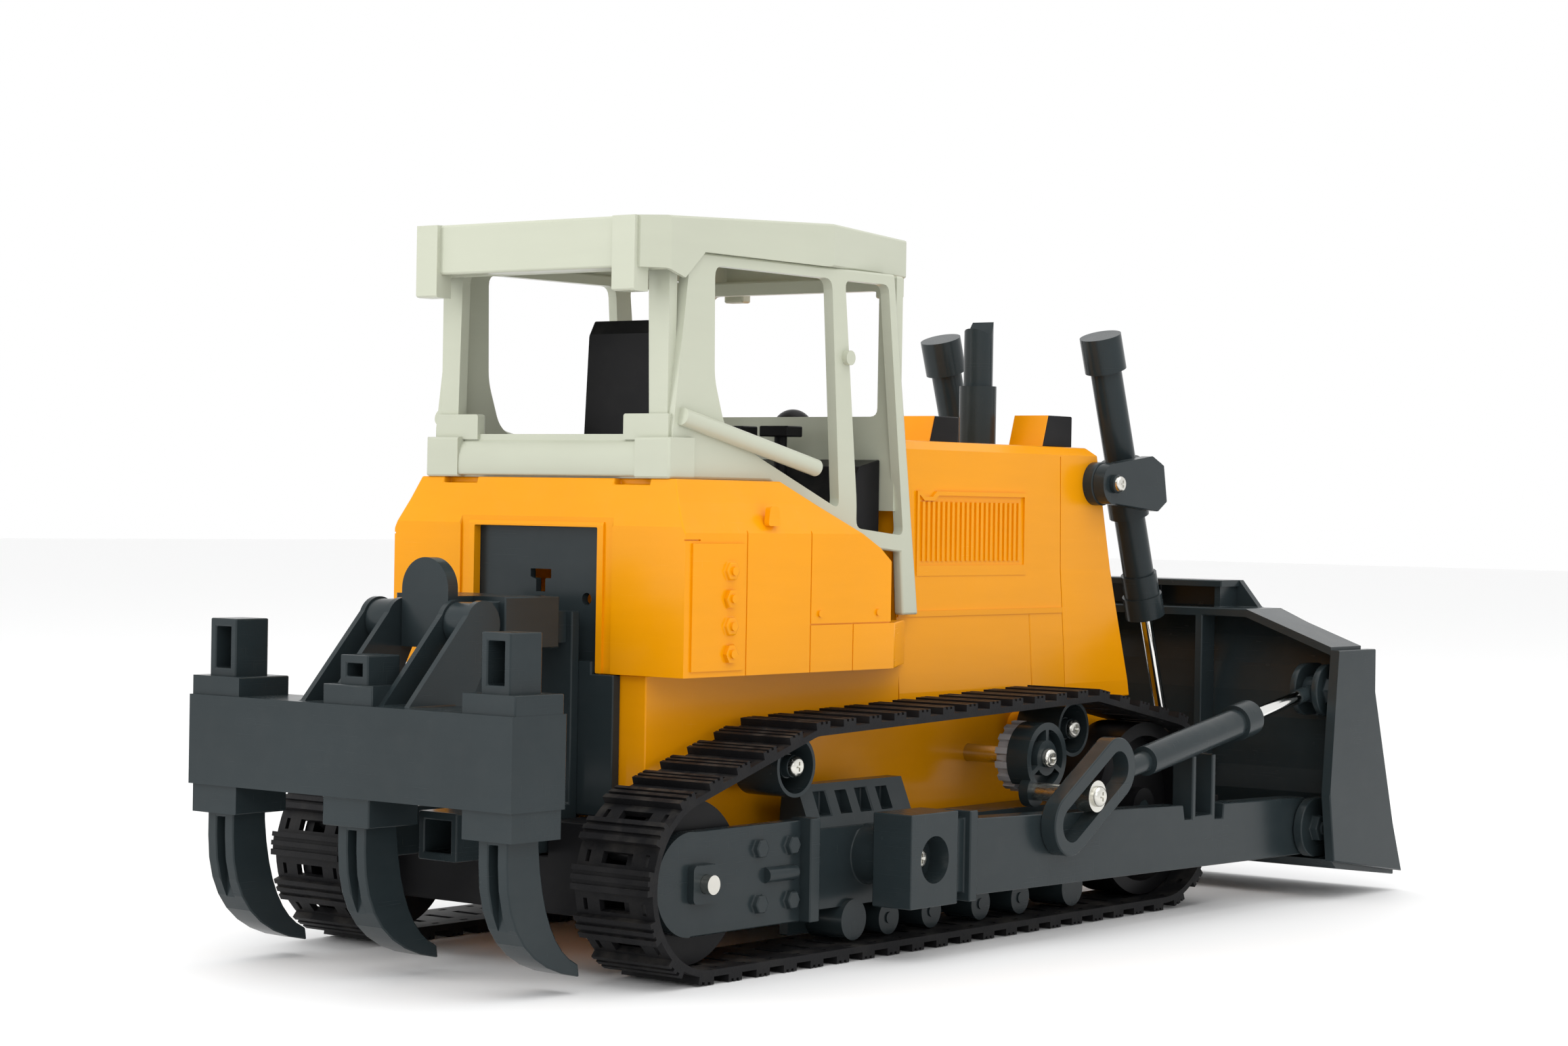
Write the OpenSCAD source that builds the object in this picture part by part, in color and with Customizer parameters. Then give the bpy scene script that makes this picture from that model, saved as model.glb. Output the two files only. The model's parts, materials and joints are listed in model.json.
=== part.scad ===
// Toy crawler bulldozer with a lifting blade and a rear ripper, in millimetres.
// X points to the blade, Y to the left side and Z up. The tracks stand on z = 0.
// Paired pieces are drawn on the left side and mirrored to the right.

/* [Tracks] */
// Distance from the middle to the outer edge of a belt
track_half = 65.5; // [64:0.5:68]
// Width of one belt
belt_w = 25; // [23:0.5:27]
// Thickness of the belt
belt_t = 3.6; // [3:0.1:4.2]
// Sprocket radius, under the belt
sprocket_r = 20.6; // [19.6:0.1:21.6]
// Idler radius, under the belt
idler_r = 25.6; // [24:0.1:26.2]
// Carrier roller radius
carrier_r = 8; // [7:0.1:9]
// Bottom roller radius
roller_r = 4.5; // [4:0.1:4.6]
// Place of the sprocket axle along the machine
sprocket_x = -125; // [-128:0.5:-122]
// Place of the idler axle along the machine
idler_x = 87; // [84:0.5:90]
// Diameter of the steel drive axles
axle_d = 4.8; // [4:0.1:6]

/* [Body] */
// Half width of the hull between the tracks
hull_half = 37; // [34:0.5:38]
// Wall of the moulded shells
wall = 2.4; // [1.6:0.1:3]
// Half width of the rear housing
housing_half = 50.8; // [46:0.2:54]
// Height of the rear housing
housing_top = 124.1; // [120:0.1:128]
// Height of the fenders over the tracks
fender_z = 74.3; // [73.5:0.1:76]
// Height of the engine hood
hood_top = 136.8; // [132:0.2:142]
// Half width of the top of the hood
hood_half = 34; // [32:0.5:36]

/* [Cab] */
// Half width of the cab at its back
cab_half = 41.5; // [39:0.5:43]
// Height of the underside of the roof
roof_z = 182; // [174:0.5:190]
// Thickness of the roof
roof_t = 11; // [8:0.5:13]
// Wall of the cab frame
cab_wall = 3; // [2:0.2:4]

/* [Blade] */
// Distance from the middle to the outer face of a blade end plate
blade_half = 91; // [90.5:0.5:96]
// Height of the top of the blade, in the middle
blade_top = 88; // [82:0.5:92]
// Thickness of the blade sheet
blade_t = 3; // [2:0.2:4]
// Inner face of the push arms
arm_in = 72; // [71:0.5:73]
// Outer face of the push arms
arm_out = 79; // [77.5:0.1:79]
// Diameter of the trunnion pins that the push arms turn on
trunnion_d = 5; // [4:0.1:7]

/* [Lift] */
// Distance from the middle to a lift cylinder
lift_y = 30; // [28:0.5:31]
// Radius of a lift cylinder barrel
barrel_r = 4.8; // [4:0.1:5.2]
// Diameter of the chrome lift rods
rod_d = 4; // [3:0.1:5]
// Radius at which the crank pin turns
crank_throw = 10.5; // [10:0.1:11]
// Radius of the crank pin washer
washer_r = 4.4; // [3.8:0.1:4.5]

/* [Ripper] */
// Half length of the ripper beam
beam_half = 55.6; // [50:0.2:60]
// Distance from the middle to an outer ripper shank
shank_y = 47; // [40:0.5:48]
// Width of a shank
shank_w = 9.4; // [7:0.2:10]
// Diameter of the ripper pivot pins
ripper_pin_d = 4; // [3:0.1:6]

/* [Hidden] */
$fn = 48;
// Running clearance of a shaft in its bore, and the gap between moving faces.
run = 0.05;
gap = 0.4;
// Gap between the belt and the wheels inside it.
belt_gap = 0.3;
// Width and depth of the seams between moulded panels.
seam = 0.4;
belt_in = track_half - belt_w;
wheel_in = belt_in + 2.5;
wheel_out = track_half - 8;
cover_out = track_half - 4;

sprocket_c = [sprocket_x, sprocket_r + belt_t + belt_gap];
idler_c = [idler_x, idler_r + belt_t + belt_gap];
rear_carrier_c = [-82, 50.8];
front_carrier_c = [48, 54.8];
carriers = [rear_carrier_c, front_carrier_c];
loop_c = [idler_c, front_carrier_c, rear_carrier_c, sprocket_c];
loop_r = [idler_r, carrier_r, carrier_r, sprocket_r];
roller_z = belt_t + belt_gap + roller_r;
roller_xs = [-41.5, -22, 1.5, 21];
end_roller_xs = [-59.5, 45];
roller_pin_r = 1.5;
frame_top = 34;
frame_low = roller_z + roller_r + gap;
frame_x = [-101, 56];
trunnion = [-51.5, 26.3];
boss_y = track_half + 1.7;

crank_c = [24.5, 48];
slot_a = [7.7, 31.8];
slot_b = [30.8, 45.9];
slot_half = washer_r + 0.5;
slot_dir = (slot_b - slot_a) / norm(slot_b - slot_a);
slot_norm = [-slot_dir[1], slot_dir[0]];
// At rest the crank pin lies on the middle line of the slot.
pin_drop = (slot_a - crank_c) * slot_norm;
pin_c = crank_c + pin_drop * slot_norm - sqrt(pow(crank_throw, 2) - pow(pin_drop, 2)) * slot_dir;

lift_pivot = [93, 126];
lift_low = [148, 32];
lift_lean = 18.5;
lift_dir = [sin(lift_lean), -cos(lift_lean)];
barrel_len = 82;
barrel_top = lift_low - 147 * lift_dir;
rod_low = 147;
clamp_at = 48;

strut_y = 80.5;
strut_a = [40.7, 45.3];
strut_b = [148.6, 63.8];
strut_angle = atan2(strut_b[1] - strut_a[1], strut_b[0] - strut_a[0]);
strut_len = norm(strut_b - strut_a);
arm_bolt = [147, 21.5];

ripper_pivot = [-158.5, 87.2];
link_r = 6;
beam_x = [-187.2, -168.2];
beam_z = [45.1, 67.7];
shank_x = [-184, -173];

yellow = [0.95, 0.62, 0.08];
slate = [0.27, 0.31, 0.32];
cream = [0.86, 0.86, 0.79];
black = [0.09, 0.09, 0.1];
steel = [0.78, 0.78, 0.76];

// Box between pairs of coordinates.
module block(x, y, z) {
    translate([x[0], y[0], z[0]]) cube([x[1] - x[0], y[1] - y[0], z[1] - z[0]]);
}
// Outline in the XZ plane, thick from y0 to y1.
module slab_y(y0, y1) {
    translate([0, y1, 0]) rotate([90, 0, 0]) linear_extrude(y1 - y0) children();
}
// Outline in the YZ plane, thick from x0 to x1.
module slab_x(x0, x1) {
    translate([x0, 0, 0]) rotate([90, 0, 90]) linear_extrude(x1 - x0) children();
}
// Round bar along Y at the point c of the XZ plane.
module bar_y(c, r, y0, y1) {
    translate([c[0], y1, c[1]]) rotate([90, 0, 0]) cylinder(h = y1 - y0, r = r);
}
// Hexagon head along Y.
module hex_y(c, across, y0, y1) {
    translate([c[0], y1, c[1]]) rotate([90, 0, 0]) cylinder(h = y1 - y0, d = across / cos(30), $fn = 6);
}
module right_side() {
    mirror([0, 1, 0]) children();
}
module both_sides() {
    children();
    right_side() children();
}
// Strip of half width r between two points of the XZ plane, with round ends, thick from y0 to y1.
module link_y(a, b, r, y0, y1) {
    translate([a[0], y1, a[1]]) rotate([0, -atan2(b[1] - a[1], b[0] - a[0]), 0]) rotate([90, 0, 0])
        linear_extrude(y1 - y0) {
            circle(r);
            translate([norm(b - a), 0]) circle(r);
            translate([0, -r]) square([norm(b - a), 2 * r]);
        }
}
// Rectangle with round corners.
module round_rect(x, z, r) {
    translate([x[0] + r, z[0]]) square([x[1] - x[0] - 2 * r, z[1] - z[0]]);
    translate([x[0], z[0] + r]) square([x[1] - x[0], z[1] - z[0] - 2 * r]);
    for (cx = [x[0] + r, x[1] - r], cz = [z[0] + r, z[1] - r]) translate([cx, cz]) circle(r);
}

// The belt's loop is four arcs joined by their common tangents.
function arc(c, r, a0, a1, n) = [for (i = [0:n]) let (a = a0 + (a1 - a0) * i / n) c + r * [cos(a), sin(a)]];
function wrap(a) = a < -95 ? a + 360 : a;
function tangent_angle(i, j) = wrap(atan2(loop_c[j][1] - loop_c[i][1], loop_c[j][0] - loop_c[i][0])
    - acos((loop_r[i] - loop_r[j]) / norm(loop_c[j] - loop_c[i])));
function loop_outline(grow) = concat(
    arc(loop_c[0], loop_r[0] + grow, tangent_angle(3, 0), tangent_angle(0, 1), 20),
    arc(loop_c[1], loop_r[1] + grow, tangent_angle(0, 1), tangent_angle(1, 2), 4),
    arc(loop_c[2], loop_r[2] + grow, tangent_angle(1, 2), tangent_angle(2, 3), 4),
    arc(loop_c[3], loop_r[3] + grow, tangent_angle(2, 3), tangent_angle(3, 0) + 360, 20));
function curve(a, b, c, n) = [for (i = [0:n]) let (t = i / n)
    pow(1 - t, 2) * a + 2 * t * (1 - t) * b + t * t * c];
// Outline with every corner rounded off over the length d of its sides.
function soft(pts, d, n = 4) = [for (i = [0:len(pts) - 1]) let (b = pts[i],
    a = pts[(i + len(pts) - 1) % len(pts)], c = pts[(i + 1) % len(pts)])
    each curve(b + d * (a - b) / norm(a - b), b, b + d * (c - b) / norm(c - b), n)];

// Where the housing's roof starts to fall, and the corner it falls to.
shoulder_x = -74;
nose = [-38, 107];

// Lower hull: open tub between the tracks, with bores for the crank shaft.
hull_x = [-118, 106];
hull_z = [14, 61];
module hull_solid(in, low) {
    block([hull_x[0] + in, hull_x[1] - in], [-hull_half + in, hull_half - in], [hull_z[0] + low, hull_z[1]]);
    block([hull_x[0] + in, -10 - in], [-hull_half + in, hull_half - in], [hull_z[0] + low, fender_z]);
}
module lower_hull() {
    color(yellow) difference() {
        union() {
            difference() {
                hull_solid(0, 0);
                translate([0, 0, 0.01]) hull_solid(wall, wall);
                block([-12.5 - wall, hull_x[1] - wall], [-hull_half + wall, hull_half - wall], [60, 62]);
                block([hull_x[0] + wall, -10 - wall], [-hull_half + wall, hull_half - wall], [70, 75]);
                // Opening for the battery pack.
                block([-62, 12], [-27, 27], [10, 20]);
            }
            both_sides() {
                for (c = carriers) bar_y(c, 4, hull_half - 1, wheel_in - gap);
                for (c = carriers) bar_y(c, 2, hull_half - 1, wheel_out);
            }
        }
        both_sides() bar_y(crank_c, 2.5 + run, hull_half - 2 * wall, hull_half + 1);
    }
}

// Battery door under the hull, with four screw heads.
module belly_cover() {
    color(slate) {
        difference() {
            block([-61.8, 11.8], [-26.8, 26.8], [12, 16.2]);
            block([-56, 6], [-21, 21], [14.2, 17]);
        }
        for (x = [-58, 8], y = [-23, 23]) translate([x, y, 11]) cylinder(h = 1, r = 2.2);
    }
}

// Rear housing: hollow shell with bevelled shoulders, sloping to the front, and a low step each side.
module housing_section(in) {
    half = housing_half - in;
    polygon([[-half, fender_z - 1], [half, fender_z - 1], [half, 110.6 - in / 2],
        [half - 3.9, 118.2 - in], [half - 6.4, housing_top - in],
        [-half + 6.4, housing_top - in], [-half + 3.9, 118.2 - in], [-half, 110.6 - in / 2]]);
}
module housing_profile(in) {
    polygon([[-120 + in, fender_z], [-33 - in, fender_z], [-33 - in, nose[1] - 3.5 - in],
        [nose[0] - in / 2, nose[1] - in],
        [shoulder_x - in / 3, housing_top - in], [-116.4 + in, housing_top - in], [-120 + in, 112]]);
}
module step_plan(in) {
    half = housing_half - in;
    polygon([[-60, -half], [-31 - in / 2, -half], [-8 - in, -hull_half - gap], [-8 - in, hull_half + gap],
        [-31 - in / 2, half], [-60, half]]);
}
module rear_housing() {
    color(yellow) difference() {
        union() {
            intersection() {
                slab_x(-121, -32) housing_section(0);
                slab_y(-housing_half, housing_half) housing_profile(0);
            }
            translate([0, 0, fender_z]) linear_extrude(12.3) step_plan(0);
        }
        translate([0, 0, -0.01]) intersection() {
            slab_x(-121, -32) housing_section(wall);
            slab_y(-housing_half, housing_half) housing_profile(wall);
        }
        translate([0, 0, fender_z - 0.01]) linear_extrude(12.3 - wall) step_plan(wall);
        // Room for the hood and the cab well in front.
        block([-32, 5], [-hull_half - gap, hull_half + gap], [fender_z - 1, 90]);
        block([-36, -31], [-hood_half + 4, hood_half - 4], [fender_z - 1, 110]);
        block([-50.5, -35], [-28.2, 28.2], [96.2, 116]);
        // Doorway of the rear panel.
        block([-121, -117], [-21.5, 21.5], [fender_z - 1, 111.5]);
        // Well under the cab.
        block([-108, -50], [-36, 36], [108, 130]);
        // Frame step round the doorway, and two notches in the top edge behind the cab's blocks.
        difference() {
            block([-121, -119.4], [-26.5, 26.5], [fender_z - 1, 114.5]);
            block([-122, -119], [-23.5, 23.5], [fender_z - 2, 112.8]);
        }
        both_sides() {
            block([-118, -114], [24, 36], [housing_top - 1.6, housing_top + 1]);
            // Seams between the service door, the side panel and the step.
            skin = [housing_half - seam, housing_half + 1];
            for (x = [-95.4, -68.6]) block([x, x + seam], skin, [fender_z, 125]);
            block([-120, -114], skin, [108.6, 108.6 + seam]);
            block([-68.6, -31], skin, [86.6, 86.6 + seam]);
            block([-50, -50 + seam], skin, [fender_z - 1, 86.6]);
        }
    }
    // Service door with four bolts, on each side.
    color(yellow) both_sides() {
        block([-117.5, -96.8], [housing_half, housing_half + 0.5], [fender_z + 1.5, 108]);
        for (z = [80, 87, 94, 101]) hex_y([-102.5, z], 4.4, housing_half + 0.5, housing_half + 1.6);
        for (z = [80, 87, 94, 101]) bar_y([-102.5, z], 1.1, housing_half + 1.5, housing_half + 2.2);
        // Latch relief and rivets.
        slab_y(housing_half - 1, housing_half + 0.6) polygon(soft([[-87.5, 112.5], [-82.5, 112.5],
            [-83.2, 117.5], [-86.8, 117.5]], 1));
        for (c = [[-64.5, 89.6], [-39, 89.6]]) bar_y(c, 0.9, housing_half - 1, housing_half + 0.5);
    }
}

// Rear panel behind the ripper, with a key slot and a lamp hole.
module rear_panel() {
    color(slate) difference() {
        union() {
            block([-117.4, -115.2], [-24, 24], [fender_z + 0.2, 111.8]);
            block([-121, -118], [-28.5, 28.5], [38, fender_z - 0.2]);
            block([-121, -118], [-21, 21], [fender_z - 1, fender_z + 3]);
            block([-119, -115.2], [-21, 21], [fender_z + 0.2, fender_z + 3]);
        }
        block([-118, -114], [-3.6, 3.6], [98, 100.4]);
        block([-118, -114], [-1.6, 1.6], [94.5, 99]);
        translate([-119, -16, 93]) rotate([0, 90, 0]) cylinder(h = 5, r = 1.6);
    }
}

// Engine hood: shell with flared sides, sloping nose and the two pivot bosses of the lift cylinders.
module hood_section(in) {
    polygon([[-hull_half + in, 60], [hull_half - in, 60], [hull_half - in, 66], [hood_half + 0.6 - in, 100],
        [hood_half - in, hood_top - 2.5], [hood_half - 2.5 - in, hood_top - in],
        [-hood_half + 2.5 + in, hood_top - in], [-hood_half + in, hood_top - 2.5],
        [-hood_half - 0.6 + in, 100], [-hull_half + in, 66]]);
}
module hood_profile(in) {
    polygon([[-9.5 + in, hull_z[1] + 0.2], [110.5 - in, hull_z[1] + 0.2], [94.4 - in, hood_top - 2.3],
        [91.5 - in, hood_top - in], [-9.5 + in, hood_top - in]]);
}
module hood() {
    color(yellow) difference() {
        union() {
            difference() {
                intersection() {
                    slab_x(-10, 111) hood_section(0);
                    slab_y(-hull_half, hull_half) hood_profile(0);
                }
                translate([0, 0, -0.01]) intersection() {
                    slab_x(-10, 111) hood_section(wall);
                    slab_y(-hull_half, hull_half) hood_profile(wall);
                }
            }
            both_sides() {
                bar_y(lift_pivot, 6.4, lift_y - 1, hood_half + 3.4);
                bar_y(lift_pivot, 2.5, lift_y - 1, hood_half + 9);
            }
        }
        // Seams between the engine doors and the nose.
        both_sides() {
            block([74.2, 74.2 + seam], [hood_half - 0.4, hull_half + 1], [64, hood_top - 3]);
            block([56.4, 56.4 + seam], [hood_half - 0.1, hull_half + 1], [64, 87]);
        }
        // Sockets for the exhaust and the pre-cleaner.
        translate([68, -8, hood_top - wall - 1]) cylinder(h = 5, r = 3);
        translate([3, 12, hood_top - wall - 1]) cylinder(h = 5, r = 3);
    }
    // Louvred grille and step line on each side.
    color(yellow) both_sides() {
        for (i = [0:20]) block([3 + 2.4 * i, 4.2 + 2.4 * i], [hood_half - 1, hood_half + 1], [102.8, 119.6]);
        slab_y(hood_half - 1, hood_half + 0.9) difference() {
            polygon([[0.6, 98.6], [55.6, 98.6], [55.6, 122.6], [10, 122.6], [8, 121], [4.6, 121],
                [2.6, 122.6], [0.6, 122.6]]);
            polygon([[1.6, 101.6], [54.4, 101.6], [54.4, 121.4], [11, 121.4], [9, 119.9], [4, 119.9],
                [2, 121.4], [1.6, 121.4]]);
        }
        block([-9, 74], [hood_half + 0.6, hood_half + 1.8], [87.2, 88.8]);
    }
}

// Cab frame: two side walls, a back wall and a front wall, all with open windows.
cab_x = [-114.4, -4];
cab_front_half = hood_half + 5;
cab_taper = atan2(cab_half - cab_front_half, cab_x[1] - cab_x[0]);
side_len = (cab_x[1] - cab_x[0]) / cos(cab_taper);
module cab_side_2d() {
    difference() {
        polygon([[0, housing_top], [0, 137], [6, roof_z], [side_len - 14, roof_z], [side_len, 88],
            [side_len - 7.5, 88], [side_len - 9, nose[1] - 1.5], [nose[0] - cab_x[0] + 1, nose[1] + 0.5],
            [shoulder_x - cab_x[0] + 1, housing_top]]);
        // Rear side window and door window.
        polygon(soft([[16, 179], [16.6, 150], [21, 138], [34, 131], [72, 117], [67, 179]], 3));
        polygon(soft([[73, 179], [80, 119], [80, 112], [side_len - 8, 110], [side_len - 17, 179]], 2.4));
    }
}
// Handrail along the falling edge of the side wall.
rail_a = [-112, 140];
rail_b = [-56, 128];
rail_r = 2.3;
module handrail() {
    lean = atan2(rail_b[1] - rail_a[1], rail_b[0] - rail_a[0]);
    translate([rail_a[0], cab_half + 0.6, rail_a[1]]) rotate([0, 90 - lean, 0])
        cylinder(h = norm(rail_b - rail_a), r = rail_r);
}
module cab_side() {
    translate([cab_x[0], cab_half, 0]) rotate([0, 0, -cab_taper]) slab_y(-cab_wall, 0) cab_side_2d();
}
module cab_frame() {
    color(cream) {
        both_sides() {
            cab_side();
            // Corner blocks, handrail and pillar nub.
            block([-117, -107], [cab_half - 10.5, cab_half + 1], [housing_top, 134.6]);
            block([-115.2, -112], [cab_half - 16, cab_half - 1], [134, 140.6]);
            handrail();
            bar_y([-40.4, 158], 2, cab_front_half, cab_half);
        }
        // Rounded lower rear panel.
        slab_y(-cab_half + 9, cab_half - 9) polygon(concat([[-112, housing_top + 0.5], [-112, 134.2]],
            curve([-113, 134.2], [-117.4, 134], [-116.6, housing_top + 0.5], 6)));
        // Back wall with its window.
        difference() {
            block([-114.4, -111.4], [-cab_half + 2, cab_half - 2], [housing_top, roof_z]);
            slab_x(-116, -110) polygon(soft([[-cab_half + 8, 135.4], [cab_half - 8, 135.4],
                [cab_half - 9, 178], [-cab_half + 9, 178]], 2.4));
        }
        // Front wall with the windscreen opening.
        difference() {
            block([-14, -11], [-cab_front_half + 2, cab_front_half - 2], [hood_top - 20, roof_z]);
            slab_x(-15, -10) polygon(soft([[-31, 143], [31, 143], [31, 178], [-31, 178]], 2.4));
        }
    }
}

// Cab roof with a rear bar and two hooks.
module roof_plan(in) {
    polygon([[-125.1 + in, -38.8 + in], [-118, -43 + in], [-48, -41 + in], [-4 - in, -33 + in], [-2 - in, -28],
        [-2 - in, 28], [-4 - in, 33 - in], [-48, 41 - in], [-118, 43 - in], [-125.1 + in, 38.8 - in]]);
}
module roof_profile() {
    polygon([[-125.1, 177], [-119, 177], [-112, 175], [-104, roof_z], [-2, roof_z], [-2, 192.6],
        [-48, roof_z + roof_t + 0.6], [-125.1, 190]]);
}
module cab_roof() {
    color(cream) difference() {
        union() {
            intersection() {
                translate([0, 0, 170]) linear_extrude(30) roof_plan(0);
                slab_y(-43, 43) roof_profile();
            }
            // Rear hooks and front brackets.
            both_sides() block([-126.4, -121], [30.5, 38], [171, 190]);
            both_sides() block([-6.5, -2.5], [24, 31], [176.5, roof_z + 2]);
        }
        // Hollow underside that fits over the cab frame.
        translate([0, 0, 160]) linear_extrude(roof_z + roof_t - 3 - 160) intersection() {
            roof_plan(3);
            translate([-118, -45]) square([111, 90]);
        }
        block([-118, -95], [-cab_half - 0.2, cab_half + 0.2], [170, roof_z]);
    }
}

// Dashboard and floor of the cab.
module console() {
    color(black) {
        block([-107.8, -50.2], [-35.8, 35.8], [112, 115]);
        slab_y(-33, 33) polygon([[-32, 93], [-15, 93], [-15, 131], [-24, 129], [-32, 118]]);
        block([-50.2, -32], [-28, 28], [93, 96]);
        block([-53, -50.2], [-28, 28], [93, 115]);
    }
}

// Seat with its backrest.
module operator_seat() {
    color(black) {
        slab_y(-13, 13) round_rect([-88, -56], [115, 128], 3);
        slab_y(-12.5, 12.5) polygon([[-88, 126], [-78, 126], [-77, 163], [-79, 166.6], [-84, 166.6], [-86, 163]]);
    }
}

// Two control levers with T handles.
module control_levers() {
    color(black) for (y = [-8, 8]) {
        translate([-28, y, 126.1]) cylinder(h = 12, r = 1.8);
        block([-31.5, -24.5], [y - 5, y + 5], [137, 140]);
    }
}

module exhaust_stack() {
    color(slate) translate([68, -8, 0]) {
        translate([0, 0, hood_top - 2]) cylinder(h = 3, r = 2.9);
        translate([0, 0, hood_top]) cylinder(h = 18, r = 5.6);
        difference() {
            translate([0, 0, hood_top + 17]) cylinder(h = 20.5, r = 4.4);
            translate([-8, 0, hood_top + 37]) rotate([0, 25, 0]) block([-9, 9], [-6, 6], [0, 8]);
        }
    }
}

module precleaner() {
    color(black) translate([3, 12, 0]) {
        translate([0, 0, hood_top - 2]) cylinder(h = 3, r = 2.9);
        translate([0, 0, hood_top]) cylinder(h = 4, r = 6);
        translate([0, 0, hood_top + 3]) difference() {
            sphere(r = 6);
            translate([-10, -10, -20]) cube([20, 20, 20]);
        }
    }
}

// Headlight boxes on the hood, open to the front, with their lenses.
lamp_x = [78, 91];
lamp_z = [hood_top, hood_top + 9.5];
module headlight_frames() {
    color(black) both_sides() difference() {
        slab_y(15, 27) polygon([[lamp_x[0] - 3, lamp_z[0]], [lamp_x[1], lamp_z[0]], [lamp_x[1], lamp_z[1]],
            [lamp_x[0], lamp_z[1]]]);
        block([lamp_x[1] - 5, lamp_x[1] + 1], [16.5, 25.5], [lamp_z[0] + 1.5, lamp_z[1] - 1.5]);
    }
}
module headlight_lenses() {
    color([0.9, 0.92, 0.95]) both_sides()
        block([lamp_x[1] - 4.9, lamp_x[1] - 2.5], [16.6, 25.4], [lamp_z[0] + 1.6, lamp_z[1] - 1.6]);
}

// Parts inside the hull.
module battery_pack() {
    color([0.2, 0.35, 0.6]) for (i = [0:4])
        translate([-52, -27.2 + 13.6 * i, 24.2]) rotate([0, 90, 0]) cylinder(h = 50, r = 6.6);
    color([0.2, 0.35, 0.6]) for (x = [-53, -3]) block([x, x + 2], [-30, 30], [16.45, 24]);
}
module circuit_board() {
    color([0.1, 0.4, 0.2]) block([-71, -21], [-25, 25], [62, 63.6]);
    color([0.1, 0.4, 0.2]) for (x = [-68, -24], y = [-22, 22])
        translate([x, y, 58]) cylinder(h = 4, r = 2);
    color([0.1, 0.4, 0.2]) block([-72, -20], [-34.6, 34.6], [56, 58]);
}
module drive_motors() {
    color(steel) both_sides() bar_y([-96, 40], 9, 3, 26);
    color(steel) both_sides() bar_y([-96, 40], 1, 26, 31);
}
module gearbox_cases() {
    color(black) difference() {
        union() {
            both_sides() block([-115.4, -82], [26.2, 34.4], [16.6, 52]);
            block([-115.4, -82], [-26.2, 26.2], [16.6, 29]);
            block([10, 40], [-22, 22], [16.6, 55.8]);
        }
        both_sides() bar_y([-96, 40], 1 + run, 25, 32);
        bar_y(crank_c, 2.5 + run, -23, 23);
    }
}

// Casing behind the hull that carries the inner ends of the drive axles.
axle_in = hull_half - 8;
module final_drive_case() {
    color(black) difference() {
        union() {
            both_sides() block([sprocket_x - 8, hull_x[0]], [18, hull_half - 1], [hull_z[0], 37.5]);
            block([sprocket_x - 8, hull_x[0]], [-18, 18], [hull_z[0], 28.5]);
        }
        both_sides() bar_y(sprocket_c, axle_d / 2 + run, axle_in - 0.5, hull_half);
    }
}

// Track frame: beam, roller rail with pins, end caps, idler fork, guard and trunnion boss.
module track_frame() {
    color(slate) {
        difference() {
            union() {
                block(frame_x, [belt_in + 4.5, wheel_out + 1], [frame_low, frame_top]);
                block([-72, 38], [belt_in + 4.5, belt_in + 7.2], [roller_z - 3, frame_low]);
                for (x = roller_xs) bar_y([x, roller_z], roller_pin_r, belt_in + 5, wheel_out + 1);
                for (x = end_roller_xs) bar_y([x, roller_z + 1.2], 5.4, belt_in + 7, wheel_out + 2.4);
                bar_y(trunnion, 8, wheel_out, boss_y);
                bar_y(trunnion, trunnion_d / 2, boss_y - 1, 74);
                link_y([50, 26], idler_c, 6, belt_in + 0.6, belt_in + 2);
                block([40, 56], [belt_in + 0.6, belt_in + 5], [20, 32]);
                bar_y(idler_c, 2.5, belt_in + 1, wheel_out);
                // Slotted guard on top of the beam.
                slab_x(-74, -28) polygon([[belt_in + 5, frame_top - 1], [wheel_out - 1, frame_top - 1],
                    [wheel_out - 6, frame_top + 11], [belt_in + 6, frame_top + 11]]);
                // Arms to the hull.
                for (x = [-90, 20]) block([x, x + 14], [hull_half, belt_in + 5], [20, 32]);
            }
            bar_y(trunnion, 1.2, wheel_out + 4, 75);
            for (x = [-68:9:-35]) block([x, x + 5], [wheel_out - 7, wheel_out], [frame_top + 3, frame_top + 9]);
            bar_y(rear_carrier_c, carrier_r + gap + 0.6, belt_in, track_half);
        }
    }
}

// Side cover over the end of the track frame, with the bearing of the drive axle.
cover_c = sprocket_c - [3.5, 0];
module side_cover() {
    color(slate) difference() {
        union() {
            slab_y(wheel_out + 1, cover_out) {
                translate(cover_c) circle(13);
                translate([cover_c[0], cover_c[1] - 13]) square([-84 - cover_c[0], 26]);
            }
            block([-85, -81], [wheel_out + 1, track_half - 0.5], [cover_c[1] - 13, cover_c[1] + 13.6]);
            slab_y(cover_out - 1, cover_out + 2)
                round_rect([sprocket_x - 4.8, sprocket_x + 4.8], [sprocket_c[1] - 4.8, sprocket_c[1] + 4.8], 1.5);
            for (x = [-102, -89], z = [-7, 7]) hex_y([x, cover_c[1] + z], 4.4, cover_out - 0.5, cover_out + 1.6);
            translate([-99.5, cover_out, cover_c[1]]) rotate([0, 90, 0]) cylinder(h = 12, r = 2);
        }
        bar_y(sprocket_c, axle_d / 2 + run, wheel_out, track_half);
    }
}

module track_belt() {
    color(black) slab_y(belt_in, track_half) difference() {
        polygon(loop_outline(belt_gap + belt_t));
        polygon(loop_outline(belt_gap));
    }
}

module trunnion_screws() {
    color(steel) both_sides() difference() {
        union() {
            bar_y(trunnion, 2.9, 74.2, 76);
            bar_y(trunnion, 1.15, 64, 75);
        }
        hex_y(trunnion, 2, 75.2, 77);
    }
}

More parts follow.
